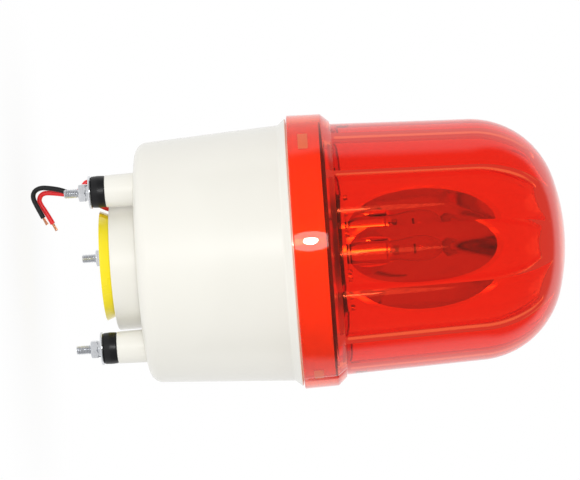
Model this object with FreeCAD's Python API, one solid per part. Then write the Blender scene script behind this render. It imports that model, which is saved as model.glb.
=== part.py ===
import FreeCAD, Part
import math
import os
from FreeCAD import Vector

# A rotating warning beacon. +Z runs along its axis from the mounting plane to the tip of the dome.
# The origin is the centre of the stud circle in the mounting plane, where the rubber bushes end.
# All sizes are in millimetres and degrees.

# fits and clearances
RUN_FIT = 0.05          # radial play of a shaft that turns in its bore
LOOSE = 0.15            # radial play of a screw in a plain hole
GAP = 0.3               # air between pieces that move past each other
BORE_FIT = 0.02         # a nut's thread on its bolt

# mounting studs and what is on them
STUD_CIRCLE_R = 38.5
STUD_ANGLES = (90, 210, 330)
STUD_R = 2.0
STUD_TIP = -11.5
STUD_FREE_END = 6.0     # bare thread past the nut
STUD_CHAMFER = 0.5
HEX_ACROSS_FLATS = 7.0
BOLT_HEAD_H = 2.8
NUT_H = 3.2
NUT_CHAMFER = 0.5
WASHER_R = 7.0
WASHER_T = 1.0
SPRING_WASHER_R = 3.5
SPRING_WASHER_T = 1.1
SPRING_WASHER_SPLIT = 0.8
BUSH_R = 6.75
BUSH_L = 6.0
BUSH_EDGE = 0.6

# housing: cup, spigot and standoffs
SPIGOT_R = 28.0
SPIGOT_WALL = 2.3
SPIGOT_END_T = 2.5
SPIGOT_EDGE = 0.8
SPIGOT_L = 12.4
FLOOR_T = 3.0
WALL = 2.8
CUP_FOOT_R = 51.4
CUP_FOOT_ROUND = 5.2
CUP_TOP_R = 55.0
CUP_H = 61.7
FLARE_H = 3.4
FLARE_R = 57.9
RIM_R = 55.6
RIM_WALL = 3.0
RIM_H = 13.9
STANDOFF_TIP_R = 6.75
STANDOFF_ROOT_R = 7.1
STANDOFF_BOSS_R = 6.6
STANDOFF_BOSS_H = 2.1

# posts inside the cup
POST_ANGLES = (30, 150, 270)
POST_CIRCLE_R = 46.0
POST_R = 3.9
POST_ROOT_R = 4.7
POST_PILOT_R = 1.3
POST_PILOT_DEPTH = 12.0
BOARD_POST_CIRCLE_R = 30.0
BOARD_POST_R = 3.2
BOARD_POST_H = 18.6
BOARD_PILOT_R = 1.0
BOARD_PILOT_DEPTH = 8.0

# bayonet between the dome's collar and the housing's rim
LUG_ANGLES = (90, 210, 330)
LUG_WIDTH_DEG = 10.0
LUG_H = 4.0
LUG_DEPTH = 2.2
LUG_BELOW_RIM = 8.9     # from the rim's top to the lug's underside
TWIST_DEG = 20.0

# dome and collar
COLLAR_GAP = 0.5
COLLAR_R = 58.85
COLLAR_DRAFT = 0.4
COLLAR_H = 14.5
COLLAR_FIT = 0.4
COLLAR_CHAMFER_H = 3.8
COLLAR_CHAMFER_R = 55.0
DOME_FOOT_R = 54.0
DOME_SHOULDER_R = 51.9
DOME_WALL_H = 57.7      # from the chamfer's top to where the shoulder starts
SHOULDER_ROUND = 37.3
CROWN_ROUND = 87.0
FLUTES = 12
FLUTE_WALL = 2.0
RIDGE_WALL = 4.5
CROWN_WALL = 4.7
FLUTE_RUN_OUT = 0.93    # share of the shoulder's height where the flutes end
FLUTE_TURN_DEG = 15.0   # where the first ridge stands
GASKET_T = 0.9
GASKET_INSET = 0.2
NOTCH_ANGLE = -29.0
NOTCH_W = 2.0
NOTCH_L = 5.6
NOTCH_DEPTH = 0.9
NOTCH_CUTTER = 4.0       # depth of the block that cuts it, past the collar's skin

# chassis plate and its screws
PLATE_T = 2.5
PLATE_GAP = 0.9
PLATE_BELOW_RIM = 3.4
SCREW_R = 1.5
SCREW_CORE_R = 1.3
SCREW_HEAD_R = 2.8
SCREW_HEAD_H = 1.8
SCREW_GRIP = 8.0
SMALL_SCREW_R = 1.15
SMALL_SCREW_CORE_R = 1.0
SMALL_HEAD_R = 2.2
SMALL_HEAD_H = 1.5
SMALL_GRIP = 5.0

# lamp pillar, socket and lamp
PILLAR_R = 9.45
PILLAR_BORE_R = 6.45
PILLAR_FLANGE_R = 14.0
PILLAR_FLANGE_T = 3.2
PILLAR_H = 12.5
PILLAR_TAIL_R = 8.0
PILLAR_TAIL_L = 3.6
CLIP_INSET = 0.1         # how far the clip stays inside the hub's edge
CLIP_T = 0.8
CLIP_GROOVE = 0.6
CLIP_MOUTH = 7.0
SOCKET_R = 8.7
SOCKET_WALL = 0.7
SOCKET_H = 16.5
SOCKET_LIP = 0.5
PIN_R = 1.0
PIN_SLOT_SIDE = 0.3
PIN_TURN_DEG = 24.0
LAMP_TRAVEL = 1.5
LAMP_CAP_R = 7.5
LAMP_CAP_WALL = 0.5
LAMP_CAP_H = 14.5
LAMP_CAP_ABOVE_SOCKET = 2.5   # from the socket's foot to the cap's foot
PIN_ABOVE_CAP_FOOT = 7.0
LAMP_CONTACT_R = 2.4
LAMP_CONTACT_H = 1.4
BULB_NECK_R = 6.9
BULB_R = 9.5
BULB_WALL = 0.6
BULB_NECK_H = 4.5
BULB_SWELL = 0.55       # share of the ball's radius where the neck runs into it
BULB_L = 23.5
FILAMENT_ABOVE_CAP = 11.0
FILAMENT_SPAN = 7.0
FILAMENT_R = 0.5
SUPPORT_R = 0.35
STEM_R = 3.0
STEM_TIP_R = 1.6
STEM_IN_CAP = 12.5
STEM_ABOVE_CAP = 3.5
INSULATOR_FLANGE_T = 0.6
INSULATOR_BORE_R = 3.2
INSULATOR_DEPTH = 9.5
INSULATOR_FLOOR = 1.5
PLUNGER_HEAD_H = 2.2
PLUNGER_TIP_R = 1.8
PLUNGER_TIP_H = 0.9
SPRING_WIRE_R = 0.3
SPRING_COIL_R = 2.4
SPRING_TURNS = 6

# turntable, pinion and gearbox
GEAR_MODULE = 1.0
PRESSURE_ANGLE = 20.0
GEAR_TEETH = 52
PINION_TEETH = 18
TOOTH_THINNING = 0.13
GEAR_W = 4.0
GEAR_EDGE_R = 24.0
DECK_H = 1.8
HUB_R = 10.7
HUB_H = 1.6
TURNTABLE_LIFT = 0.3
MOTOR_ANGLE = 90.0
PINION_W = 5.0
PINION_DROP = 0.5
PINION_HUB_R = 5.0
PINION_HUB_H = 1.6
SHAFT_R = 1.5
SHAFT_FLAT = 0.4
SHAFT_IN_GEARBOX = 7.0
GEARBOX_R = 12.5
GEARBOX_H = 9.0
GEARBOX_NOSE_R = 6.0
GEARBOX_NOSE_H = 2.0
GEARBOX_SCREW_X = 9.0
MOTOR_R = 12.2
MOTOR_L = 27.5
MOTOR_ROUND = 1.2
MOTOR_CAP_R = 10.0
MOTOR_CAP_H = 3.0
TERMINAL_W = 2.8
TERMINAL_L = 5.0

# reflector
REFLECTOR_HALF_H = 32.5
REFLECTOR_HALF_W = 25.0
REFLECTOR_BACK_Y = 13.0
REFLECTOR_DEPTH = 22.0
REFLECTOR_WALL = 1.2
REFLECTOR_FOOT_T = 1.5
REFLECTOR_FOOT_R = 23.6
REFLECTOR_ABOVE_FOOT = 1.8    # from the foot's underside to the mouth's lowest point
REFLECTOR_LIP = 1.5
REFLECTOR_LIP_T = 1.0
RIB_X = 9.6
RIB_T = 2.0
RIB_H = 19.0
RIB_REACH = 20.0
REFLECTOR_SCREW_PLACES = ((21.0, 4.6), (-21.0, 4.6), (13.6, -16.4), (-13.6, -16.4))

# circuit board
BOARD_R = 36.0
BOARD_T = 1.6
BOARD_HOLE_R = 3.4      # where the lead tails come up through the board
TERMINAL_BLOCK = (16.0, 8.0, 9.0)
TERMINAL_BLOCK_AT = (-14.0, -22.0)
CAPACITOR_R = 5.0
CAPACITOR_H = 9.0
CAPACITOR_AT = (14.0, -20.0)
CHOKE_R = 6.0
CHOKE_H = 5.0
CHOKE_AT = (0.0, 5.0)
REGULATOR = (10.0, 4.5, 9.0)
REGULATOR_AT = (0.0, -12.0)

# sounder
SOUNDER_CAP_R = 21.9
SOUNDER_CAP_FLARE_R = 23.6
SOUNDER_CAP_T = 4.6
SOUNDER_FACE_T = 1.4
SOUNDER_NECK_R = 12.0
SOUNDER_NECK_BORE_R = 9.0
SOUNDER_NECK_L = 4.0
SOUNDER_SLOTS = 6
SOUNDER_SLOT_W = 2.0
SOUNDER_SLOT_IN = 3.5
SOUNDER_SLOT_OUT = 8.5
RING_NUT_R = 17.0
RING_NUT_T = 2.5
CAPSULE_R = 15.0
CAPSULE_H = 7.0
CAPSULE_WALL = 1.5
DISC_R = 13.0
DISC_T = 0.6

# leads
LEAD_R = 1.05
LEAD_ANGLE = 183.0
LEAD_CIRCLE_R = 24.2
LEAD_SPACING = 2.3
PLUG_W = 3.0
PLUG_L = 5.8
PLUG_H = 4.0
STRAND_R = 0.6
LEAD_START = 8.4        # height in the sealing plug where the free leads begin
LEAD_STRAIGHT = 4.5     # height where they leave the straight way out
STRAND_L = 3.4
LEAD_TAIL_REACH = 6.0   # how far the inner tails swing out beside the terminal block
# the free leads' routes after that, as points chosen by hand
RED_ROUTE = (
    (-29.2, -3.4, -0.6), (-34.1, -3.6, -0.8), (-37.8, -4.0, -1.9), (-37.7, -4.6, -5.3),
    (-34.6, -5.0, -7.8), (-32.0, -4.9, -11.6), (-33.0, -4.4, -16.4), (-33.6, -4.2, -21.6),
    (-32.0, -4.1, -23.6), (-29.5, -4.0, -24.0), (-24.8, -3.9, -21.2), (-20.0, -3.8, -18.9))
BLACK_ROUTE = (
    (-28.4, -0.8, -1.6), (-31.9, -4.4, -5.0), (-32.0, -7.6, -8.6), (-34.5, -7.4, -13.8),
    (-36.1, -6.8, -18.9), (-36.6, -6.6, -23.6), (-35.3, -6.5, -26.6), (-32.6, -6.4, -27.4),
    (-28.6, -6.4, -25.6), (-24.6, -6.3, -23.6))

# heights that follow from the sizes above
SPIGOT_FACE = BUSH_L
CUP_FOOT = SPIGOT_FACE + SPIGOT_L
CUP_FLOOR = CUP_FOOT + FLOOR_T
CUP_TOP = CUP_FOOT + CUP_H
SHOULDER = CUP_TOP + FLARE_H
RIM_TOP = SHOULDER + RIM_H
COLLAR_FOOT = SHOULDER + COLLAR_GAP
LEDGE = RIM_TOP + GASKET_T + GAP
COLLAR_TOP_R = COLLAR_R - COLLAR_DRAFT
CHAMFER_TOP = COLLAR_FOOT + COLLAR_H + COLLAR_CHAMFER_H
DOME_SHOULDER = CHAMFER_TOP + DOME_WALL_H
PLATE_TOP = RIM_TOP - PLATE_BELOW_RIM
PLATE_UNDER = PLATE_TOP - PLATE_T
FLANGE_TOP = PLATE_TOP + PILLAR_FLANGE_T
PILLAR_TOP = PLATE_TOP + PILLAR_H
TABLE_UNDER = FLANGE_TOP + TURNTABLE_LIFT
GEAR_TOP = TABLE_UNDER + GEAR_W
DECK_TOP = GEAR_TOP + DECK_H
HUB_TOP = DECK_TOP + HUB_H
SOCKET_TOP = PILLAR_TOP + SOCKET_H
LAMP_FOOT = PILLAR_TOP + LAMP_CAP_ABOVE_SOCKET
LAMP_CAP_TOP = LAMP_FOOT + LAMP_CAP_H
BOARD_UNDER = CUP_FLOOR + BOARD_POST_H
BOARD_TOP = BOARD_UNDER + BOARD_T
MOUTH_FOOT = DECK_TOP + REFLECTOR_ABOVE_FOOT
REFLECTOR_Z = MOUTH_FOOT + REFLECTOR_HALF_H
CLIP_R = HUB_R - CLIP_INSET
LAMP_HOLE_R = HUB_R + GAP
REFLECTOR_FOOT_BORE_R = LAMP_HOLE_R + REFLECTOR_WALL
GEAR_CENTRES = GEAR_MODULE * (GEAR_TEETH + PINION_TEETH) / 2
Z = Vector(0, 0, 1)


def polar(radius, angle, z=0.0):
    """A point at this radius and angle round the axis."""
    a = math.radians(angle)
    return Vector(radius * math.cos(a), radius * math.sin(a), z)


def line(a, b):
    return Part.LineSegment(a, b).toShape()


def closed_line(points):
    """Straight edges through the points and back to the first."""
    return [line(a, b) for a, b in zip(points, points[1:] + points[:1])]


def revolve(edges):
    """A solid of revolution about the axis from the edges of a closed profile in the XZ plane."""
    face = Part.Face(Part.Wire(Part.__sortEdges__(edges)))
    return face.revolve(Vector(0, 0, 0), Z, 360)


def turned(*profile):
    """A turned piece from its (radius, height) corners."""
    return revolve(closed_line([Vector(r, 0, z) for r, z in profile]))


def rod(radius, low, high, at=Vector(0, 0, 0)):
    return Part.makeCylinder(radius, high - low, Vector(at.x, at.y, low), Z)


def tube(outer, inner, low, high, at=Vector(0, 0, 0)):
    return rod(outer, low, high, at).cut(rod(inner, low - 1, high + 1, at))


def cone(low_r, high_r, low, high, at=Vector(0, 0, 0)):
    return Part.makeCone(low_r, high_r, high - low, Vector(at.x, at.y, low), Z)


def block(size, low, at):
    """A block of this (x, y, z) size, centred over a point and standing at a height."""
    x, y, z = size
    return Part.makeBox(x, y, z, Vector(at[0] - x / 2, at[1] - y / 2, low))


def prism(points, height):
    """A flat outline pushed up by a height."""
    return Part.Face(Part.Wire(closed_line(points))).extrude(Vector(0, 0, height))


def hexagon(across_flats, low, high, at):
    """A hexagonal prism round a point."""
    corner = across_flats / math.sqrt(3)
    points = [polar(corner, 30 + 60 * i) + Vector(at.x, at.y, low) for i in range(6)]
    return prism(points, high - low)


def ring_sector(inner, outer, low, high, start, sweep):
    """Part of a ring, from one angle through a sweep."""
    ends = [(inner, low), (outer, low), (outer, high), (inner, high)]
    face = Part.Face(Part.Wire(closed_line([Vector(r, 0, z) for r, z in ends])))
    piece = face.revolve(Vector(0, 0, 0), Z, sweep)
    piece.rotate(Vector(0, 0, 0), Z, start)
    return piece


def fused(first, *rest):
    return first.fuse(list(rest)).removeSplitter()


def write(name, *solids):
    """One STEP file for a node; like pieces share it as a group of separate solids."""
    shape = solids[0] if len(solids) == 1 else Part.makeCompound(list(solids))
    shape.exportStep(os.path.join("parts", name + ".step"))


# Studs

def mounting_stud(at):
    """A hexagon bolt put in from inside; the nut sits between its shank and its free end."""
    shank_foot = STUD_TIP + STUD_FREE_END
    head_foot = CUP_FLOOR + STANDOFF_BOSS_H
    tip = rod(STUD_R, STUD_TIP, shank_foot, at)
    tip = tip.common(cone(STUD_R - STUD_CHAMFER, STUD_R - STUD_CHAMFER + STUD_FREE_END,
                          STUD_TIP, shank_foot, at))
    shank = rod(STUD_R, shank_foot, head_foot, at)
    head = hexagon(HEX_ACROSS_FLATS, head_foot, head_foot + BOLT_HEAD_H, at)
    return tip.fuse([shank, head])


def hex_nut(at):
    low = STUD_TIP + STUD_FREE_END + BORE_FIT * 10
    high = -WASHER_T - SPRING_WASHER_T
    body = hexagon(HEX_ACROSS_FLATS, low, high, at)
    corner = HEX_ACROSS_FLATS / math.sqrt(3)
    rise = NUT_CHAMFER * math.tan(math.radians(30))
    flat = HEX_ACROSS_FLATS / 2
    top = cone(flat + (high - low) / math.tan(math.radians(30)), flat, low, high, at)
    foot = cone(flat, flat + (high - low) / math.tan(math.radians(30)), low, high, at)
    body = body.common(top).common(foot)
    return body.cut(rod(STUD_R + BORE_FIT, low - 1, high + 1, at))


def spring_washer(at):
    """A split ring, its cut facing outwards from the axis."""
    low = -WASHER_T - SPRING_WASHER_T
    ring = tube(SPRING_WASHER_R, STUD_R + LOOSE, low, -WASHER_T, at)
    slit = Part.makeBox(SPRING_WASHER_R * 2, SPRING_WASHER_SPLIT, SPRING_WASHER_T + 2,
                        Vector(0, -SPRING_WASHER_SPLIT / 2, low - 1))
    slit.rotate(Vector(0, 0, 0), Z, math.degrees(math.atan2(at.y, at.x)))
    slit.translate(Vector(at.x, at.y, 0))
    return ring.cut(slit)


def rubber_bush(at):
    body = rod(BUSH_R, 0, BUSH_L, at)
    edge = cone(BUSH_R - BUSH_EDGE, BUSH_R - BUSH_EDGE + BUSH_L, 0, BUSH_L, at)
    return body.common(edge).cut(rod(STUD_R + LOOSE, -1, BUSH_L + 1, at))


def write_studs():
    places = [polar(STUD_CIRCLE_R, a) for a in STUD_ANGLES]
    write("mounting_studs", *[mounting_stud(at) for at in places])
    write("hex_nuts", *[hex_nut(at) for at in places])
    write("spring_washers", *[spring_washer(at) for at in places])
    write("flat_washers", *[tube(WASHER_R, STUD_R + LOOSE, -WASHER_T, 0, at) for at in places])
    write("rubber_bushes", *[rubber_bush(at) for at in places])


# Housing

def cup_outline():
    """Half-section of the cup and spigot: outside from the spigot up to the rim, inside back down."""
    foot_round = CUP_FOOT_ROUND
    corner = Vector(CUP_FOOT_R - foot_round, 0, CUP_FOOT)
    side = Vector(CUP_FOOT_R, 0, CUP_FOOT + foot_round)
    middle = Vector(CUP_FOOT_R - foot_round * (1 - math.sqrt(0.5)), 0,
                    CUP_FOOT + foot_round * (1 - math.sqrt(0.5)))
    spigot_bore = SPIGOT_R - SPIGOT_WALL
    rim_bore = RIM_R - RIM_WALL
    before = [Vector(0, 0, SPIGOT_FACE), Vector(SPIGOT_R - SPIGOT_EDGE, 0, SPIGOT_FACE),
              Vector(SPIGOT_R, 0, SPIGOT_FACE + SPIGOT_EDGE), Vector(SPIGOT_R, 0, CUP_FOOT), corner]
    after = [side, Vector(CUP_TOP_R, 0, CUP_TOP), Vector(FLARE_R, 0, SHOULDER),
             Vector(RIM_R, 0, SHOULDER), Vector(RIM_R, 0, RIM_TOP), Vector(rim_bore, 0, RIM_TOP),
             Vector(rim_bore, 0, CUP_TOP), Vector(CUP_FOOT_R - WALL, 0, CUP_FLOOR),
             Vector(spigot_bore, 0, CUP_FLOOR), Vector(spigot_bore, 0, SPIGOT_FACE + SPIGOT_END_T),
             Vector(0, 0, SPIGOT_FACE + SPIGOT_END_T)]
    edges = [line(a, b) for a, b in zip(before, before[1:])]
    edges.append(Part.Arc(corner, middle, side).toShape())
    edges += [line(a, b) for a, b in zip(after, after[1:] + before[:1])]
    return edges


def lug_slot(angle):
    """The L-shaped way for one lug: down from the rim's top, then along the rim to the locked place."""
    inner, outer = RIM_R - RIM_WALL - 1, RIM_R + 1
    play = math.degrees(GAP / RIM_R)
    low = RIM_TOP - LUG_BELOW_RIM - GAP
    high = low + LUG_H + 2 * GAP
    width = LUG_WIDTH_DEG + 2 * play
    start = angle - LUG_WIDTH_DEG / 2 - play
    along = ring_sector(inner, outer, low, high, start, width + TWIST_DEG)
    down = ring_sector(inner, outer, low, RIM_TOP + 1, start + TWIST_DEG, width)
    return along.fuse(down)


def plug_slot(low, high, side=0.0):
    """The rounded slot for the leads through the spigot's end wall, grown by a side clearance."""
    radius = PLUG_W / 2 + side
    reach = PLUG_L / 2 - PLUG_W / 2
    body = Part.makeBox(2 * radius, 2 * reach, high - low,
                        Vector(LEAD_CIRCLE_R - radius, -reach, low))
    ends = [rod(radius, low, high, Vector(LEAD_CIRCLE_R, way * reach, 0)) for way in (-1, 1)]
    slot = fused(body, *ends)
    slot.rotate(Vector(0, 0, 0), Z, LEAD_ANGLE)
    return slot


def standoff(at):
    """A tapered leg under the cup for one stud, with a boss inside that the bolt's head sits on."""
    leg = cone(STANDOFF_TIP_R, STANDOFF_ROOT_R, SPIGOT_FACE, CUP_FOOT + FLOOR_T / 2, at)
    boss = rod(STANDOFF_BOSS_R, CUP_FOOT + FLOOR_T / 2, CUP_FLOOR + STANDOFF_BOSS_H, at)
    return leg.fuse(boss)


def housing():
    """Cup, spigot, standoffs and inner posts, moulded in one."""
    studs = [polar(STUD_CIRCLE_R, a) for a in STUD_ANGLES]
    posts = [polar(POST_CIRCLE_R, a) for a in POST_ANGLES]
    board_posts = [polar(BOARD_POST_CIRCLE_R, a) for a in POST_ANGLES]
    body = revolve(cup_outline())
    added = [standoff(at) for at in studs]
    added += [cone(POST_ROOT_R, POST_R, CUP_FLOOR - 1, PLATE_UNDER, at) for at in posts]
    added += [rod(BOARD_POST_R, CUP_FLOOR - 1, BOARD_UNDER, at) for at in board_posts]
    body = body.fuse(added)
    holes = [rod(STUD_R + LOOSE, SPIGOT_FACE - 1, CUP_FLOOR + STANDOFF_BOSS_H + 1, at) for at in studs]
    holes += [rod(POST_PILOT_R, PLATE_UNDER - POST_PILOT_DEPTH, PLATE_UNDER + 1, at) for at in posts]
    holes += [rod(BOARD_PILOT_R, BOARD_UNDER - BOARD_PILOT_DEPTH, BOARD_UNDER + 1, at)
              for at in board_posts]
    holes.append(rod(SOUNDER_NECK_R + BORE_FIT, SPIGOT_FACE - 1, SPIGOT_FACE + SPIGOT_END_T + 1))
    holes.append(plug_slot(SPIGOT_FACE - 1, SPIGOT_FACE + SPIGOT_END_T + 1))
    holes += [lug_slot(a) for a in LUG_ANGLES]
    return body.cut(holes).removeSplitter()


# Dome

def shoulder_centre():
    return Vector(DOME_SHOULDER_R - SHOULDER_ROUND, 0, DOME_SHOULDER)


def crown_centre_height():
    """The crown's arc meets the shoulder's without a kink, so their centres lie on one line."""
    reach = CROWN_ROUND - SHOULDER_ROUND
    return DOME_SHOULDER - math.sqrt(reach ** 2 - shoulder_centre().x ** 2)


def dome_outside():
    """Collar, chamfer, tapered wall, rounded shoulder and flatter crown, as one solid form."""
    crown = Vector(0, 0, crown_centre_height())
    centre = shoulder_centre()
    to_shoulder = (centre - crown).normalize()
    lean = math.atan2(to_shoulder.x, to_shoulder.z)
    join = crown + to_shoulder * CROWN_ROUND
    tip = crown + Z * CROWN_ROUND
    crown_mid = crown + Vector(math.sin(lean / 2), 0, math.cos(lean / 2)) * CROWN_ROUND
    half = (math.pi / 2 + lean) / 2
    shoulder_mid = centre + Vector(math.sin(half), 0, math.cos(half)) * SHOULDER_ROUND
    start = Vector(DOME_SHOULDER_R, 0, DOME_SHOULDER)
    corners = [Vector(0, 0, COLLAR_FOOT), Vector(COLLAR_R, 0, COLLAR_FOOT),
               Vector(COLLAR_TOP_R, 0, COLLAR_FOOT + COLLAR_H),
               Vector(COLLAR_CHAMFER_R, 0, CHAMFER_TOP), Vector(DOME_FOOT_R, 0, CHAMFER_TOP), start]
    edges = [line(a, b) for a, b in zip(corners, corners[1:])]
    edges.append(Part.Arc(start, shoulder_mid, join).toShape())
    edges.append(Part.Arc(join, crown_mid, tip).toShape())
    edges.append(line(tip, corners[0]))
    return revolve(edges)


def wall_radius(z, wall):
    """Radius of the dome's inside where the wall is this thick, from its foot to past the shoulder."""
    if z <= DOME_SHOULDER:
        share = (z - CHAMFER_TOP) / DOME_WALL_H
        return DOME_FOOT_R + share * (DOME_SHOULDER_R - DOME_FOOT_R) - wall
    rise = z - DOME_SHOULDER
    return shoulder_centre().x + math.sqrt((SHOULDER_ROUND - wall) ** 2 - rise ** 2)


def fluted_section(z):
    """Twelve outward arcs between inward ridges, the inside of the dome at one height."""
    pitch = 360 / FLUTES
    ridge_r, flute_r = wall_radius(z, RIDGE_WALL), wall_radius(z, FLUTE_WALL)
    edges = []
    for i in range(FLUTES):
        start = FLUTE_TURN_DEG + i * pitch
        arc = Part.Arc(polar(ridge_r, start, z), polar(flute_r, start + pitch / 2, z),
                       polar(ridge_r, start + pitch, z))
        edges.append(arc.toShape())
    return Part.Wire(edges)


def dome_inside():
    """The fluted hollow, closed by the inner face of the crown where the flutes run out."""
    crown_z = crown_centre_height()
    inner_crown = CROWN_ROUND - CROWN_WALL
    top = DOME_SHOULDER + FLUTE_RUN_OUT * (SHOULDER_ROUND - RIDGE_WALL)
    steps = 7
    turn = math.asin((top - DOME_SHOULDER) / (SHOULDER_ROUND - RIDGE_WALL))
    heights = [DOME_SHOULDER + (SHOULDER_ROUND - RIDGE_WALL) * math.sin(turn * i / steps)
               for i in range(steps + 1)]
    straight = Part.makeLoft([fluted_section(LEDGE - 1), fluted_section(DOME_SHOULDER)], True, True)
    rounded = Part.makeLoft([fluted_section(z) for z in heights], True, False)
    ball = Part.makeSphere(inner_crown, Vector(0, 0, crown_z))
    cap_base = top - GAP
    cap = ball.common(rod(CUP_TOP_R, cap_base, cap_base + inner_crown))
    return [straight, rounded.common(ball), cap]


def dome_lens():
    """Red lens dome with its collar, fluted inside, and three bayonet lugs in the collar."""
    body = dome_outside()
    collar_bore = RIM_R + COLLAR_FIT
    body = body.cut(rod(collar_bore, COLLAR_FOOT - 1, LEDGE))
    for hollow in dome_inside():
        body = body.cut(hollow)
    low = RIM_TOP - LUG_BELOW_RIM
    lugs = [ring_sector(collar_bore - LUG_DEPTH, collar_bore + 1, low, low + LUG_H,
                        a - LUG_WIDTH_DEG / 2, LUG_WIDTH_DEG) for a in LUG_ANGLES]
    body = body.fuse(lugs)
    notch = Part.makeBox(NOTCH_CUTTER, NOTCH_W, NOTCH_L,
                         Vector(COLLAR_TOP_R - NOTCH_DEPTH, -NOTCH_W / 2,
                                COLLAR_FOOT + COLLAR_H - NOTCH_L * 0.6))
    notch.rotate(Vector(0, 0, 0), Z, NOTCH_ANGLE)
    return body.cut(notch)


def dome_gasket():
    """A flat rubber ring on the housing's rim."""
    outer, inner = RIM_R - GASKET_INSET, RIM_R - RIM_WALL + GASKET_INSET
    return tube(outer, inner, RIM_TOP, RIM_TOP + GASKET_T)


# Chassis

def motor_place():
    return polar(GEAR_CENTRES, MOTOR_ANGLE)


def motor_screw_places():
    side = polar(GEARBOX_SCREW_X, MOTOR_ANGLE + 90)
    return [motor_place() + side, motor_place() - side]


def chassis_plate():
    """A round plate on the three posts; it carries the lamp pillar and the gearbox."""
    body = rod(RIM_R - RIM_WALL - PLATE_GAP, PLATE_UNDER, PLATE_TOP)
    holes = [rod(PILLAR_TAIL_R + LOOSE, PLATE_UNDER - 1, PLATE_TOP + 1),
             rod(GEARBOX_NOSE_R + LOOSE, PLATE_UNDER - 1, PLATE_TOP + 1, motor_place())]
    holes += [rod(SCREW_R + LOOSE, PLATE_UNDER - 1, PLATE_TOP + 1, polar(POST_CIRCLE_R, a))
              for a in POST_ANGLES]
    holes += [rod(SCREW_R + LOOSE, PLATE_UNDER - 1, PLATE_TOP + 1, at)
              for at in motor_screw_places()]
    return body.cut(holes)


def screw(at, seat, grip, core, head_r, head_h):
    """A pan-head screw: its head stands on the seat, its shank goes down from there."""
    head = rod(head_r, seat, seat + head_h, at)
    head = head.common(cone(head_r + head_h * 0.5, head_r - head_h * 0.35, seat, seat + head_h, at))
    slot = block((head_r * 3, head_h * 0.4, head_h), seat + head_h * 0.6, (at.x, at.y))
    return head.fuse(rod(core, seat - grip, seat, at)).cut(slot)


def write_chassis():
    write("chassis_plate", chassis_plate())
    write("chassis_screws", *[screw(polar(POST_CIRCLE_R, a), PLATE_TOP, PLATE_T + SCREW_GRIP,
                                    SCREW_CORE_R, SCREW_HEAD_R, SCREW_HEAD_H) for a in POST_ANGLES])
    write("gearbox_screws", *[screw(at, PLATE_TOP, PLATE_T + SCREW_GRIP / 2, SCREW_CORE_R,
                                    SCREW_HEAD_R, SCREW_HEAD_H) for at in motor_screw_places()])


# Lamp

def lamp_pillar():
    """Hollow axle of the turntable, with a flange on the plate and a tail through it."""
    low = PLATE_TOP - PILLAR_TAIL_L
    body = turned((PILLAR_BORE_R, low), (PILLAR_TAIL_R, low), (PILLAR_TAIL_R, PLATE_TOP),
                  (PILLAR_FLANGE_R, PLATE_TOP), (PILLAR_FLANGE_R, FLANGE_TOP),
                  (PILLAR_R, FLANGE_TOP), (PILLAR_R, PILLAR_TOP), (PILLAR_BORE_R, PILLAR_TOP))
    low = HUB_TOP + GAP
    return body.cut(tube(PILLAR_R + 1, PILLAR_R - CLIP_GROOVE, low, low + CLIP_T))


def turntable_clip():
    """An open ring in the pillar's groove that keeps the turntable down."""
    low = HUB_TOP + GAP
    ring = tube(CLIP_R, PILLAR_R - CLIP_GROOVE, low, low + CLIP_T)
    mouth = Part.makeBox(CLIP_R * 2, CLIP_MOUTH, CLIP_T + 2, Vector(0, -CLIP_MOUTH / 2, low - 1))
    mouth.rotate(Vector(0, 0, 0), Z, 60)
    return ring.cut(mouth)


def pin_height():
    return LAMP_FOOT + PIN_ABOVE_CAP_FOOT


def pin_slot(angle):
    """The hooked slot for one cap pin: down from the mouth, round, and up to where it locks."""
    inner, outer = SOCKET_R - SOCKET_WALL - 1, SOCKET_R + 1
    half = PIN_R + PIN_SLOT_SIDE
    half_deg = math.degrees(half / SOCKET_R)
    low = pin_height() - LAMP_TRAVEL - half
    lock = ring_sector(inner, outer, low, pin_height() + half, angle - half_deg, 2 * half_deg)
    across = ring_sector(inner, outer, low, low + 2 * half, angle - half_deg,
                         PIN_TURN_DEG + 2 * half_deg)
    down = ring_sector(inner, outer, low, SOCKET_TOP + 1, angle + PIN_TURN_DEG - half_deg,
                       2 * half_deg)
    return fused(lock, across, down)


def lamp_socket():
    """A bright drawn shell with a turned-in foot, a rolled mouth and two hooked slots."""
    bore = SOCKET_R - SOCKET_WALL
    lip = SOCKET_R + SOCKET_LIP
    shell = turned((INSULATOR_BORE_R + 1, PILLAR_TOP), (SOCKET_R, PILLAR_TOP),
                   (SOCKET_R, SOCKET_TOP - 1.2), (lip, SOCKET_TOP - 0.4), (lip, SOCKET_TOP),
                   (bore, SOCKET_TOP), (bore, PILLAR_TOP + SOCKET_WALL),
                   (INSULATOR_BORE_R + 1, PILLAR_TOP + SOCKET_WALL))
    return shell.cut([pin_slot(a) for a in (0, 180)])


def socket_insulator():
    """A moulded sleeve in the pillar; the contact and its spring work in its blind bore."""
    top = PILLAR_TOP
    sleeve_r = PILLAR_BORE_R - BORE_FIT
    low = top - INSULATOR_DEPTH - INSULATOR_FLOOR
    floor = low + INSULATOR_FLOOR
    return turned((0, low), (sleeve_r, low), (sleeve_r, top), (INSULATOR_BORE_R, top),
                  (INSULATOR_BORE_R, floor), (0, floor))


def plunger_top():
    return LAMP_FOOT - LAMP_CONTACT_H - GAP


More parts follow.
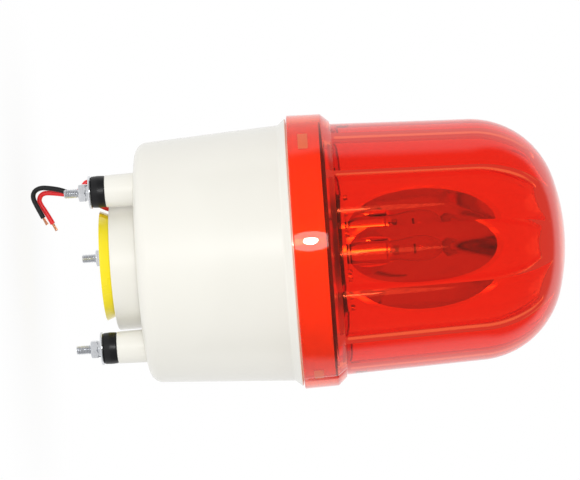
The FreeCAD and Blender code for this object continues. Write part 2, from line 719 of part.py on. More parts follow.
def contact_plunger():
    """The sprung centre contact: a head that slides in the insulator, with a domed tip."""
    head_r = INSULATOR_BORE_R - RUN_FIT
    top = plunger_top()
    head_top = top - PLUNGER_TIP_H
    low = head_top - PLUNGER_HEAD_H
    return turned((0, low), (head_r, low), (head_r, head_top), (PLUNGER_TIP_R, head_top),
                  (PLUNGER_TIP_R, top - 0.3), (PLUNGER_TIP_R - 0.4, top), (0, top))


def contact_spring():
    """A coil of round wire between the insulator's floor and the contact."""
    floor = PILLAR_TOP - INSULATOR_DEPTH
    top = plunger_top() - PLUNGER_TIP_H - PLUNGER_HEAD_H
    low = floor + SPRING_WIRE_R
    length = top - floor - 2 * SPRING_WIRE_R
    helix = Part.makeHelix(length / SPRING_TURNS, length, SPRING_COIL_R)
    helix.translate(Vector(0, 0, low))
    ring = Part.makeCircle(SPRING_WIRE_R, Vector(SPRING_COIL_R, 0, low), Vector(0, 1, 0))
    return Part.Wire(helix.Edges).makePipeShell([Part.Wire([ring])], True, False)


def lamp_cap():
    """The lamp's bayonet cap: a drawn brass shell with a bead and two pins."""
    low, top = LAMP_FOOT, LAMP_CAP_TOP
    shell = turned((0, low), (LAMP_CAP_R - 0.8, low), (LAMP_CAP_R, low + 0.8), (LAMP_CAP_R, top),
                   (LAMP_CAP_R - LAMP_CAP_WALL, top), (LAMP_CAP_R - LAMP_CAP_WALL, low + 2),
                   (0, low + 2))
    reach = SOCKET_R - 0.1
    pins = Part.makeCylinder(PIN_R, 2 * reach, Vector(-reach, 0, pin_height()), Vector(1, 0, 0))
    pins = pins.cut(rod(LAMP_CAP_R - LAMP_CAP_WALL / 2, low, top))
    return fused(shell, pins)


def bulb_outline(shrink):
    """Half-section edges of the glass: a straight neck that swells into a ball."""
    neck_r, ball_r = BULB_NECK_R - shrink, BULB_R - shrink
    low = LAMP_CAP_TOP - BULB_NECK_H
    top = LAMP_CAP_TOP + BULB_L - shrink
    centre_z = top - ball_r
    swell = centre_z - BULB_SWELL * ball_r - LAMP_CAP_TOP
    neck_top = Vector(neck_r, 0, LAMP_CAP_TOP)
    side = Vector(ball_r, 0, centre_z)
    curve = Part.BSplineCurve()
    curve.interpolate([neck_top, Vector((neck_r + ball_r) / 2, 0, LAMP_CAP_TOP + swell * 0.8), side],
                      InitialTangent=Z, FinalTangent=Z)
    mid = Vector(ball_r * math.sqrt(0.5), 0, centre_z + ball_r * math.sqrt(0.5))
    tip = Vector(0, 0, top)
    foot = Vector(neck_r, 0, low)
    middle = Vector(0, 0, low)
    return [line(middle, foot), line(foot, neck_top), curve.toShape(),
            Part.Arc(side, mid, tip).toShape(), line(tip, middle)]


def bulb_glass():
    """The blown bulb: a thin glass wall round the filament, open at its neck."""
    outer = revolve(bulb_outline(0))
    inner = revolve(bulb_outline(BULB_WALL))
    return outer.cut(inner)


def filament():
    """A short straight coil across the lamp, standing in for its fine turns."""
    z = LAMP_CAP_TOP + FILAMENT_ABOVE_CAP
    half = FILAMENT_SPAN / 2
    return Part.makeCylinder(FILAMENT_R, 2 * half, Vector(-half, 0, z), Vector(1, 0, 0))


def filament_supports():
    """Two bent wires and the glass bead that holds them, up from the cap."""
    z = LAMP_CAP_TOP + FILAMENT_ABOVE_CAP
    half = FILAMENT_SPAN / 2
    stem = cone(STEM_R, STEM_TIP_R, LAMP_CAP_TOP - STEM_IN_CAP, LAMP_CAP_TOP + STEM_ABOVE_CAP)
    wires = [rod(SUPPORT_R, LAMP_CAP_TOP, z - FILAMENT_R, Vector(way * (half - 0.6), 0, 0))
             for way in (-1, 1)]
    bead = Part.makeCylinder(0.9, 2 * half, Vector(-half, 0, LAMP_CAP_TOP + 3.0), Vector(1, 0, 0))
    return fused(stem, bead, *wires)


def write_lamp():
    write("lamp_pillar", lamp_pillar())
    write("turntable_clip", turntable_clip())
    write("lamp_socket", lamp_socket())
    write("socket_insulator", socket_insulator())
    write("contact_plunger", contact_plunger())
    write("contact_spring", contact_spring())
    write("lamp_cap", lamp_cap())
    write("lamp_contact", cone(LAMP_CONTACT_R * 0.6, LAMP_CONTACT_R, LAMP_FOOT - LAMP_CONTACT_H,
                               LAMP_FOOT))
    write("bulb_glass", bulb_glass())
    write("filament", filament())
    write("filament_supports", filament_supports())


# Drive

def involute(angle):
    return math.tan(angle) - angle


def gear_outline(teeth, centre, tooth_angle, z):
    """Involute teeth round a centre, one of them pointing at the given angle."""
    pitch_r = GEAR_MODULE * teeth / 2
    base_r = pitch_r * math.cos(math.radians(PRESSURE_ANGLE))
    tip_r = pitch_r + GEAR_MODULE
    root_r = pitch_r - 1.25 * GEAR_MODULE
    start_r = max(base_r, root_r)
    half_at_pitch = math.pi / (2 * teeth) - TOOTH_THINNING / (2 * pitch_r)
    at_pitch = involute(math.radians(PRESSURE_ANGLE))

    def half_angle(r):
        return math.degrees(half_at_pitch + at_pitch - involute(math.acos(base_r / r)))

    radii = [start_r + (tip_r - start_r) * i / 3 for i in range(4)]
    pitch_deg = 360 / teeth
    edges = []
    for i in range(teeth):
        middle = tooth_angle + i * pitch_deg
        up = [centre + polar(r, middle - half_angle(r), z) for r in radii]
        down = [centre + polar(r, middle + half_angle(r), z) for r in reversed(radii)]
        root_up = centre + polar(root_r, middle - half_angle(start_r), z)
        root_down = centre + polar(root_r, middle + half_angle(start_r), z)
        root_next = centre + polar(root_r, middle + pitch_deg - half_angle(start_r), z)
        for flank in (up, down):
            curve = Part.BSplineCurve()
            curve.interpolate(flank)
            edges.append(curve.toShape())
        edges.append(Part.Arc(up[-1], centre + polar(tip_r, middle, z), down[0]).toShape())
        edges.append(Part.Arc(root_down, centre + polar(root_r, middle + pitch_deg / 2, z),
                              root_next).toShape())
        if start_r > root_r:
            edges += [line(root_up, up[0]), line(down[-1], root_down)]
    return Part.Wire(Part.__sortEdges__(edges))


def gear(teeth, centre, tooth_angle, low, high):
    face = Part.Face(gear_outline(teeth, centre, tooth_angle, low))
    return face.extrude(Vector(0, 0, high - low))


def turntable():
    """A moulded table that turns on the pillar, with gear teeth round its lower edge."""
    rim = gear(GEAR_TEETH, Vector(0, 0, 0), MOTOR_ANGLE, TABLE_UNDER, GEAR_TOP)
    deck = turned((0, TABLE_UNDER), (GEAR_EDGE_R, TABLE_UNDER), (GEAR_EDGE_R, DECK_TOP),
                  (HUB_R, DECK_TOP), (HUB_R, HUB_TOP), (0, HUB_TOP))
    bore = rod(PILLAR_R + RUN_FIT, TABLE_UNDER - 1, HUB_TOP + 1)
    holes = [rod(SMALL_SCREW_CORE_R, DECK_TOP - SMALL_GRIP + REFLECTOR_FOOT_T, DECK_TOP + 1,
                 Vector(x, y, 0)) for x, y in REFLECTOR_SCREW_PLACES]
    return rim.fuse(deck).cut([bore] + holes)


def drive_pinion():
    low = TABLE_UNDER - PINION_DROP
    pitch_deg = 360 / PINION_TEETH
    teeth = gear(PINION_TEETH, motor_place(), MOTOR_ANGLE + 180 + pitch_deg / 2, low, low + PINION_W)
    hub = rod(PINION_HUB_R, low + PINION_W, low + PINION_W + PINION_HUB_H, motor_place())
    bore = rod(SHAFT_R + BORE_FIT, low - 1, low + PINION_W + PINION_HUB_H + 1, motor_place())
    return teeth.fuse(hub).cut(bore)


def gearbox_shaft():
    top = TABLE_UNDER - PINION_DROP + PINION_W + PINION_HUB_H + 0.8
    return rod(SHAFT_R, PLATE_UNDER - SHAFT_IN_GEARBOX, top, motor_place())


def gearbox():
    """A round case under the plate with a bearing nose that stands up through it."""
    at = motor_place()
    nose_top = PLATE_UNDER + GEARBOX_NOSE_H
    body = rod(GEARBOX_R, PLATE_UNDER - GEARBOX_H, PLATE_UNDER, at)
    body = body.fuse(rod(GEARBOX_NOSE_R, PLATE_UNDER - 1, nose_top, at))
    bore = rod(SHAFT_R + RUN_FIT, PLATE_UNDER - SHAFT_IN_GEARBOX - GAP, nose_top + 1, at)
    pilots = [rod(SCREW_CORE_R, PLATE_UNDER - SCREW_GRIP / 2 - 1, PLATE_UNDER + 1, place)
              for place in motor_screw_places()]
    return body.cut([bore] + pilots)


def motor_can():
    """The motor's drawn steel can, with a rounded far end."""
    top = PLATE_UNDER - GEARBOX_H
    low = top - MOTOR_L
    body = turned((0, low), (MOTOR_R - MOTOR_ROUND, low), (MOTOR_R, low + MOTOR_ROUND),
                  (MOTOR_R, top), (0, top))
    body.translate(motor_place())
    return body


def motor_end_cap():
    """The plastic end cap with two terminal tags."""
    at = motor_place()
    top = PLATE_UNDER - GEARBOX_H - MOTOR_L
    cap = rod(MOTOR_CAP_R, top - MOTOR_CAP_H, top, at)
    tags = [block((TERMINAL_W, 0.5, TERMINAL_L), top - TERMINAL_L,
                  (at.x + way * MOTOR_CAP_R * 0.6, at.y)) for way in (-1, 1)]
    return fused(cap, *tags)


def write_drive():
    write("turntable", turntable())
    write("drive_pinion", drive_pinion())
    write("gearbox_shaft", gearbox_shaft())
    write("gearbox", gearbox())
    write("motor_can", motor_can())
    write("motor_end_cap", motor_end_cap())


# Reflector

def parabola(grow, mouth):
    """A parabola in the YZ plane from the bowl's back to a mouth: its edge, its apex and its end."""
    back = REFLECTOR_BACK_Y + grow
    depth = REFLECTOR_DEPTH + grow
    reach = (REFLECTOR_HALF_H + grow) * math.sqrt((back - mouth) / depth)
    apex, end = Vector(0, back, 0), Vector(0, mouth, reach)
    curve = Part.BezierCurve()
    curve.setPoles([apex, Vector(0, back, reach / 2), end])
    return curve.toShape(), apex, end


def spun_bowl(edges):
    """The profile turned about Y, narrowed to an upright oval and lifted to the lamp."""
    face = Part.Face(Part.Wire(Part.__sortEdges__(edges)))
    solid = face.revolve(Vector(0, 0, 0), Vector(0, 1, 0), 360)
    narrow = FreeCAD.Matrix()
    narrow.scale(Vector(REFLECTOR_HALF_W / REFLECTOR_HALF_H, 1, 1))
    solid = solid.transformGeometry(narrow)
    solid.translate(Vector(0, 0, REFLECTOR_Z))
    return solid


def bowl_wall():
    """The thin bowl with a flat lip round its mouth."""
    mouth = REFLECTOR_BACK_Y - REFLECTOR_DEPTH
    inside, inner_apex, inner_end = parabola(0, mouth)
    outside, outer_apex, outer_end = parabola(REFLECTOR_WALL, mouth + REFLECTOR_LIP_T)
    lip = Vector(0, mouth, REFLECTOR_HALF_H + REFLECTOR_WALL + REFLECTOR_LIP)
    lip_back = lip + Vector(0, REFLECTOR_LIP_T, 0)
    return spun_bowl([inside, line(inner_end, lip), line(lip, lip_back), line(lip_back, outer_end),
                      outside, line(outer_apex, inner_apex)])


def bowl_core():
    """What the ribs are cut back by, so that they end inside the bowl's wall."""
    mouth = REFLECTOR_BACK_Y - REFLECTOR_DEPTH
    curve, apex, end = parabola(REFLECTOR_WALL / 2, mouth)
    middle = Vector(0, mouth, 0)
    return spun_bowl([curve, line(end, middle), line(middle, apex)])


def reflector_rib(x):
    """An upright web from the ring foot to the back of the bowl."""
    mouth = REFLECTOR_BACK_Y - REFLECTOR_DEPTH
    side = [(mouth, 0), (RIB_REACH, 0), (RIB_REACH, REFLECTOR_FOOT_T + 1),
            (REFLECTOR_BACK_Y + REFLECTOR_WALL, RIB_H), (mouth, RIB_H)]
    points = [Vector(x - RIB_T / 2, y, DECK_TOP + z) for y, z in side]
    web = Part.Face(Part.Wire(closed_line(points))).extrude(Vector(RIB_T, 0, 0))
    return web.cut(bowl_core()).common(rod(REFLECTOR_FOOT_R, DECK_TOP, DECK_TOP + RIB_H))


def reflector():
    """A metallised bowl with a lip, two ribs behind it and a ring foot, moulded in one."""
    foot_top = DECK_TOP + REFLECTOR_FOOT_T
    foot = tube(REFLECTOR_FOOT_R, REFLECTOR_FOOT_BORE_R, DECK_TOP, foot_top)
    lamp_hole = rod(LAMP_HOLE_R, DECK_TOP - 1, REFLECTOR_Z)
    ribs = [reflector_rib(x).cut(lamp_hole) for x in (RIB_X, -RIB_X)]
    body = bowl_wall().cut(lamp_hole).fuse([foot] + ribs)
    return body.cut([rod(SMALL_SCREW_R, DECK_TOP - 1, foot_top + 1, Vector(x, y, 0))
                     for x, y in REFLECTOR_SCREW_PLACES])


def write_reflector():
    write("reflector", reflector())
    seat = DECK_TOP + REFLECTOR_FOOT_T
    write("reflector_screws", *[screw(Vector(x, y, 0), seat, SMALL_GRIP, SMALL_SCREW_CORE_R,
                                      SMALL_HEAD_R, SMALL_HEAD_H)
                                for x, y in REFLECTOR_SCREW_PLACES])


# Circuit board

def circuit_board():
    body = rod(BOARD_R, BOARD_UNDER, BOARD_TOP)
    holes = [rod(SMALL_SCREW_R + LOOSE, BOARD_UNDER - 1, BOARD_TOP + 1, polar(BOARD_POST_CIRCLE_R, a))
             for a in POST_ANGLES]
    holes.append(rod(BOARD_HOLE_R, BOARD_UNDER - 1, BOARD_TOP + 1, polar(LEAD_CIRCLE_R, LEAD_ANGLE)))
    return body.cut(holes)


def write_board():
    write("circuit_board", circuit_board())
    write("board_screws", *[screw(polar(BOARD_POST_CIRCLE_R, a), BOARD_TOP, BOARD_T + SMALL_GRIP,
                                  BOARD_PILOT_R, SMALL_HEAD_R, SMALL_HEAD_H) for a in POST_ANGLES])
    write("terminal_block", block(TERMINAL_BLOCK, BOARD_TOP, TERMINAL_BLOCK_AT))
    write("board_components", rod(CAPACITOR_R, BOARD_TOP, BOARD_TOP + CAPACITOR_H,
                                  Vector(*CAPACITOR_AT, 0)),
          tube(CHOKE_R, CHOKE_R / 2, BOARD_TOP, BOARD_TOP + CHOKE_H, Vector(*CHOKE_AT, 0)),
          block(REGULATOR, BOARD_TOP, REGULATOR_AT))


# Sounder

def sounder_cap():
    """A flared yellow cap on the spigot with a threaded neck through its wall and slots for sound."""
    low = SPIGOT_FACE - SOUNDER_CAP_T
    top = SPIGOT_FACE + SOUNDER_NECK_L
    body = turned((0, low), (SOUNDER_CAP_FLARE_R, low), (SOUNDER_CAP_R, SPIGOT_FACE - 0.5),
                  (SOUNDER_CAP_R, SPIGOT_FACE), (SOUNDER_NECK_R, SPIGOT_FACE), (SOUNDER_NECK_R, top),
                  (SOUNDER_NECK_BORE_R, top), (SOUNDER_NECK_BORE_R, low + SOUNDER_FACE_T),
                  (0, low + SOUNDER_FACE_T))
    slots = []
    for i in range(SOUNDER_SLOTS):
        slot = Part.makeBox(SOUNDER_SLOT_OUT - SOUNDER_SLOT_IN, SOUNDER_SLOT_W, SOUNDER_FACE_T + 2,
                            Vector(SOUNDER_SLOT_IN, -SOUNDER_SLOT_W / 2, low - 1))
        slot.rotate(Vector(0, 0, 0), Z, i * 360 / SOUNDER_SLOTS)
        slots.append(slot)
    return body.cut(slots)


def write_sounder():
    wall_top = SPIGOT_FACE + SPIGOT_END_T
    neck_top = SPIGOT_FACE + SOUNDER_NECK_L
    write("sounder_cap", sounder_cap())
    write("sounder_nut", tube(RING_NUT_R, SOUNDER_NECK_R + BORE_FIT, wall_top, wall_top + RING_NUT_T))
    low = wall_top + RING_NUT_T
    top = low + CAPSULE_H
    capsule = turned((SOUNDER_NECK_BORE_R, low), (CAPSULE_R, low), (CAPSULE_R, top), (0, top),
                     (0, top - CAPSULE_WALL), (DISC_R, top - CAPSULE_WALL),
                     (DISC_R, low + CAPSULE_WALL), (SOUNDER_NECK_BORE_R, low + CAPSULE_WALL))
    write("sounder_capsule", capsule)
    write("sounder_disc", rod(DISC_R, low + CAPSULE_WALL, low + CAPSULE_WALL + DISC_T))


# Leads

def side_by_side(way, radius=LEAD_CIRCLE_R, z=0.0):
    """Where one of the two leads passes the spigot's end wall."""
    spot = Vector(radius, way * LEAD_SPACING / 2, z)
    return FreeCAD.Rotation(Z, LEAD_ANGLE).multVec(spot)


def sealing_plug():
    body = plug_slot(SPIGOT_FACE, SPIGOT_FACE + PLUG_H)
    return body.cut([rod(LEAD_R, SPIGOT_FACE - 1, SPIGOT_FACE + PLUG_H + 1, side_by_side(way))
                     for way in (-1, 1)])


def rounded_path(points):
    """Straight runs joined by tangent arcs, each as large as its two runs allow."""
    edges, radii, here = [], [], points[0]
    for before, corner, after in zip(points, points[1:], points[2:]):
        back, on = before - corner, after - corner
        half_turn = (math.pi - back.getAngle(on)) / 2
        cut = 0.45 * min(back.Length, on.Length)
        radius = cut / math.tan(half_turn)
        radii.append(radius)
        to_back, to_on = back.normalize(), on.normalize()
        start, end = corner + to_back * cut, corner + to_on * cut
        inward = (to_back + to_on).normalize()
        middle = corner + inward * (radius / math.cos(half_turn) - radius)
        edges.append(line(here, start))
        edges.append(Part.Arc(start, middle, end).toShape())
        here = end
    edges.append(line(here, points[-1]))
    return Part.Wire(edges), radii


def lead(name, points):
    """A round lead along its route; prints its length and bends, and compares its volume."""
    path, radii = rounded_path(points)
    along = (points[1] - points[0]).normalize()
    section = Part.Wire([Part.makeCircle(LEAD_R, points[0], along)])
    body = path.makePipeShell([section], True, False)
    wanted = math.pi * LEAD_R ** 2 * path.Length
    print(name, "length", round(path.Length, 2), "volume share", round(body.Volume / wanted, 4),
          "radii", [round(r, 1) for r in radii])
    return body


def strand(points):
    """The bare copper end of a lead, in line with its last run."""
    along = (points[-1] - points[-2]).normalize()
    return Part.makeCylinder(STRAND_R, STRAND_L, points[-1], along)


def write_leads():
    """Both leads hang free from the sealing plug; each ends in a little bare copper."""
    strands, tails = [], []
    for name, way, route in (("red_lead", 1, RED_ROUTE), ("black_lead", -1, BLACK_ROUTE)):
        points = [side_by_side(way, z=LEAD_START), side_by_side(way, z=LEAD_STRAIGHT)]
        points += [Vector(*p) for p in route]
        write(name, lead(name, points))
        strands.append(strand(points))
        tails.append(lead_tail(way))
    write("lead_strands", *strands)
    write("lead_tails", *tails)
    write("sealing_plug", sealing_plug())


def lead_tail(way):
    """The hidden stretch of a lead, from the plug up to the terminal block's side."""
    start = side_by_side(way, z=LEAD_START)
    x, y = TERMINAL_BLOCK_AT
    end = Vector(x - TERMINAL_BLOCK[0] / 2, y + way * LEAD_SPACING, BOARD_TOP + TERMINAL_BLOCK[2] / 2)
    above = start + Z * (BOARD_TOP + TERMINAL_BLOCK[2] - LEAD_START)
    side = Vector(end.x - LEAD_TAIL_REACH, end.y, end.z)
    path, radii = rounded_path([start, above, side, end])
    section = Part.Wire([Part.makeCircle(LEAD_R, start, Z)])
    return path.makePipeShell([section], True, False)


def main():
    os.makedirs("parts", exist_ok=True)
    write_studs()
    write("housing", housing())
    write("dome_lens", dome_lens())
    write("dome_gasket", dome_gasket())
    write_chassis()
    write_lamp()
    write_drive()
    write_reflector()
    write_board()
    write_sounder()
    write_leads()


main()
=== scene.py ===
import math

import bmesh
import bpy
import numpy as np
from mathutils import Matrix, Vector


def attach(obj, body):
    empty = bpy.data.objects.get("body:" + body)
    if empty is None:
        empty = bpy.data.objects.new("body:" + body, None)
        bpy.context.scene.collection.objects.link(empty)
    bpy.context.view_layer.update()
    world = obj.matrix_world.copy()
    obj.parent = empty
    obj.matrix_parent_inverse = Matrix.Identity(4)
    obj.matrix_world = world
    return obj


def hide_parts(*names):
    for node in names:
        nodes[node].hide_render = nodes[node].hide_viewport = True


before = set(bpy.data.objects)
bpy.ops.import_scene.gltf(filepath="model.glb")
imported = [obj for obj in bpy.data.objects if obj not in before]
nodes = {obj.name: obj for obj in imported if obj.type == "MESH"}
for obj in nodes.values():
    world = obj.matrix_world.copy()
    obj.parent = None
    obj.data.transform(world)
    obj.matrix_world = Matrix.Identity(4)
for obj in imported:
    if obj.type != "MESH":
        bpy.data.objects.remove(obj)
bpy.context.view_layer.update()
MM = 0.001
scene = bpy.context.scene

# ---------------------------------------------------------------- camera
# The beacon lies on its side for the camera, which is rolled so that the axis runs to the right.
# A long lens at a little over a metre; it looks along +Y and a touch from the lamp's front.
AXIS_TILT = math.radians(-4.09)
BACK = Vector((-0.0915, -0.9957, 0.0140)).normalized()
CAMERA_DISTANCE = 1.12
AIM_HEIGHT, AIM_ACROSS = 81.9 * MM, 5.4 * MM
axis_seen = (Vector((0, 0, 1)) - BACK * BACK.z).normalized()
across = BACK.cross(axis_seen)
right = axis_seen * math.cos(AXIS_TILT) + across * math.sin(AXIS_TILT)
up = across * math.cos(AXIS_TILT) - axis_seen * math.sin(AXIS_TILT)
aim = axis_seen * AIM_HEIGHT + across * AIM_ACROSS
camera = bpy.data.objects.new("camera", bpy.data.cameras.new("camera"))
scene.collection.objects.link(camera)
camera.matrix_world = Matrix.Translation(aim + BACK * CAMERA_DISTANCE) @ Matrix(
    (right, up, BACK)).transposed().to_4x4()
camera.data.lens = 161.4
camera.data.sensor_width = 36.0
scene.camera = camera

# ---------------------------------------------------------------- materials shared by many pieces


def add_socket(group, label, kind, default=None, way="INPUT"):
    """One named socket on a shader node group."""
    socket = group.interface.new_socket(name=label, in_out=way, socket_type="NodeSocket" + kind)
    if default is not None:
        socket.default_value = default


def mould_grain_group():
    """Moulded plastic: a slow drift between two tints and two glosses, and a fine mould grain."""
    group = bpy.data.node_groups.new("mould_grain", "ShaderNodeTree")
    add_socket(group, "Tint", "Color", (0.8, 0.8, 0.8, 1))
    add_socket(group, "Shade", "Color", (0.7, 0.7, 0.7, 1))
    add_socket(group, "Low gloss", "Float", 0.5)
    add_socket(group, "High gloss", "Float", 0.4)
    add_socket(group, "Grain scale", "Float", 900.0)
    add_socket(group, "Grain depth", "Float", 0.1)
    add_socket(group, "Colour", "Color", way="OUTPUT")
    add_socket(group, "Roughness", "Float", way="OUTPUT")
    add_socket(group, "Normal", "Vector", way="OUTPUT")
    make, link = group.nodes.new, group.links.new
    given, out = make("NodeGroupInput"), make("NodeGroupOutput")
    where = make("ShaderNodeTexCoord")
    slow = make("ShaderNodeTexNoise")
    slow.inputs["Scale"].default_value = 28.0
    slow.inputs["Detail"].default_value = 3.0
    tint = make("ShaderNodeMix")
    tint.data_type = "RGBA"
    gloss = make("ShaderNodeMapRange")
    grain = make("ShaderNodeTexNoise")
    bump = make("ShaderNodeBump")
    bump.inputs["Distance"].default_value = 0.0002
    link(where.outputs["Object"], slow.inputs["Vector"])
    link(slow.outputs["Fac"], tint.inputs[0])
    link(given.outputs["Tint"], tint.inputs[6])
    link(given.outputs["Shade"], tint.inputs[7])
    link(slow.outputs["Fac"], gloss.inputs["Value"])
    link(given.outputs["Low gloss"], gloss.inputs["To Min"])
    link(given.outputs["High gloss"], gloss.inputs["To Max"])
    link(where.outputs["Object"], grain.inputs["Vector"])
    link(given.outputs["Grain scale"], grain.inputs["Scale"])
    link(given.outputs["Grain depth"], bump.inputs["Strength"])
    link(grain.outputs["Fac"], bump.inputs["Height"])
    link(tint.outputs[2], out.inputs["Colour"])
    link(gloss.outputs["Result"], out.inputs["Roughness"])
    link(bump.outputs["Normal"], out.inputs["Normal"])
    return group


def metal_skin_group():
    """Metal: fine scratches that run one way, cloudy gloss and a slow change of tint."""
    group = bpy.data.node_groups.new("metal_skin", "ShaderNodeTree")
    add_socket(group, "Tint", "Color", (0.8, 0.8, 0.8, 1))
    add_socket(group, "Shade", "Color", (0.6, 0.6, 0.6, 1))
    add_socket(group, "Low gloss", "Float", 0.4)
    add_socket(group, "High gloss", "Float", 0.25)
    add_socket(group, "Scratch depth", "Float", 0.1)
    add_socket(group, "Colour", "Color", way="OUTPUT")
    add_socket(group, "Roughness", "Float", way="OUTPUT")
    add_socket(group, "Normal", "Vector", way="OUTPUT")
    make, link = group.nodes.new, group.links.new
    given, out = make("NodeGroupInput"), make("NodeGroupOutput")
    where = make("ShaderNodeTexCoord")
    cloud = make("ShaderNodeTexNoise")
    cloud.inputs["Scale"].default_value = 160.0
    cloud.inputs["Detail"].default_value = 4.0
    stretch = make("ShaderNodeMapping")
    stretch.inputs["Scale"].default_value = (300, 300, 2600)
    scratch = make("ShaderNodeTexNoise")
    scratch.inputs["Scale"].default_value = 1.0
    tint = make("ShaderNodeMix")
    tint.data_type = "RGBA"
    gloss = make("ShaderNodeMapRange")
    bump = make("ShaderNodeBump")
    bump.inputs["Distance"].default_value = 0.0001
    link(where.outputs["Object"], cloud.inputs["Vector"])
    link(where.outputs["Object"], stretch.inputs["Vector"])
    link(stretch.outputs["Vector"], scratch.inputs["Vector"])
    link(cloud.outputs["Fac"], tint.inputs[0])
    link(given.outputs["Tint"], tint.inputs[6])
    link(given.outputs["Shade"], tint.inputs[7])
    link(cloud.outputs["Fac"], gloss.inputs["Value"])
    link(given.outputs["Low gloss"], gloss.inputs["To Min"])
    link(given.outputs["High gloss"], gloss.inputs["To Max"])
    link(given.outputs["Scratch depth"], bump.inputs["Strength"])
    link(scratch.outputs["Fac"], bump.inputs["Height"])
    link(tint.outputs[2], out.inputs["Colour"])
    link(gloss.outputs["Result"], out.inputs["Roughness"])
    link(bump.outputs["Normal"], out.inputs["Normal"])
    return group


mould_grain = mould_grain_group()
metal_skin = metal_skin_group()


def skinned(name, group, settings):
    """A material whose colour, roughness and normal come from a shader group; returns both."""
    material = bpy.data.materials.new(name)
    material.use_nodes = True
    tree = material.node_tree
    shader = tree.nodes["Principled BSDF"]
    skin = tree.nodes.new("ShaderNodeGroup")
    skin.node_tree = group
    for label, value in settings.items():
        skin.inputs[label].default_value = value
    tree.links.new(skin.outputs["Colour"], shader.inputs["Base Color"])
    tree.links.new(skin.outputs["Roughness"], shader.inputs["Roughness"])
    tree.links.new(skin.outputs["Normal"], shader.inputs["Normal"])
    return material, shader


def moulded(name, tint, shade, gloss=(0.5, 0.4), grain=(900.0, 0.1), coat=0.0):
    """Moulded plastic or rubber between two tints."""
    material, shader = skinned(name, mould_grain, {
        "Tint": (*tint, 1), "Shade": (*shade, 1), "Low gloss": gloss[0], "High gloss": gloss[1],
        "Grain scale": grain[0], "Grain depth": grain[1]})
    shader.inputs["IOR"].default_value = 1.5
    shader.inputs["Coat Weight"].default_value = coat
    shader.inputs["Coat Roughness"].default_value = 0.06
    return material


def metal(name, tint, shade, gloss=(0.4, 0.25), scratch=0.1):
    """Bare or plated metal between two tints."""
    material, shader = skinned(name, metal_skin, {
        "Tint": (*tint, 1), "Shade": (*shade, 1), "Low gloss": gloss[0], "High gloss": gloss[1],
        "Scratch depth": scratch})
    shader.inputs["Metallic"].default_value = 1.0
    return material


# ---------------------------------------------------------------- free leads
# Two soft single-core wires come out of a slot in the spigot and curl past the nearest stud. They are
# limp PVC on stranded copper, twisted off short with bare ends.
LEAD_R = 1.05
STRAND_R = 0.6
STRAND_L = 3.4
STRAND_STEPS = 9
RED_ROUTE = (
    (-24.11, -2.41, 8.4), (-24.11, -2.41, 4.5),
    (-29.2, -3.4, -0.4), (-34.0, -3.6, -0.2), (-36.8, -4.0, -1.2), (-36.9, -4.4, -3.6),
    (-33.4, -5.0, -5.6), (-32.0, -4.9, -11.0), (-33.0, -4.4, -16.4), (-33.6, -4.2, -21.6),
    (-32.0, -4.1, -23.6), (-29.5, -4.0, -24.0), (-24.8, -3.9, -21.2), (-20.0, -3.8, -18.9))
BLACK_ROUTE = (
    (-24.23, -0.12, 8.4), (-24.23, -0.12, 4.5),
    (-28.4, -0.8, -1.6), (-31.9, -4.4, -5.0), (-32.0, -7.6, -8.6), (-34.5, -7.4, -13.8),
    (-35.6, -6.8, -18.9), (-36.0, -6.6, -22.6), (-34.8, -6.5, -25.4), (-32.2, -6.4, -26.4),
    (-28.4, -6.4, -25.0), (-23.0, -6.3, -22.5))


def route_curve(name, route, radius):
    """A round wire on one smooth spline whose control points are the route's."""
    curve = bpy.data.curves.new(name, "CURVE")
    curve.dimensions = "3D"
    curve.bevel_depth = radius * MM
    curve.bevel_resolution = 5
    curve.use_fill_caps = True
    spline = curve.splines.new("NURBS")
    spline.points.add(len(route) - 1)
    spline.points.foreach_set("co", np.array([(*p, 1 / MM) for p in route]).ravel() * MM)
    spline.order_u = 3
    spline.use_endpoint_u = True
    spline.resolution_u = 12
    made = bpy.data.objects.new(name, curve)
    scene.collection.objects.link(made)
    return made


def strand_bundle(name, route):
    """Nineteen fine wires, laid in a slow twist, past a lead's cut end and a little into it."""
    foot, end = Vector(route[-2]), Vector(route[-1])
    along = (end - foot).normalized()
    side = along.orthogonal().normalized()
    other = along.cross(side)
    places = [(0.0, 0.0)]
    places += [(0.235, i * math.tau / 6) for i in range(6)]
    places += [(0.465, (i + 0.5) * math.tau / 12) for i in range(12)]
    curve = bpy.data.curves.new(name, "CURVE")
    curve.dimensions = "3D"
    curve.bevel_depth = 0.115 * MM
    curve.bevel_resolution = 1
    curve.use_fill_caps = True
    for number, (reach, angle) in enumerate(places):
        length = STRAND_L - 0.25 * (number * 7 % 5) / 4
        spline = curve.splines.new("POLY")
        spline.points.add(STRAND_STEPS - 1)
        for step, point in enumerate(spline.points):
            t = step / (STRAND_STEPS - 1)
            splay = reach * (1 + 0.12 * t * t)
            turn = angle + 1.6 * t
            place = end + along * (length * t - 0.4 * (1 - t)) + splay * (
                side * math.cos(turn) + other * math.sin(turn))
            point.co = (*(place * MM), 1)
    made = bpy.data.objects.new(name, curve)
    scene.collection.objects.link(made)
    return made


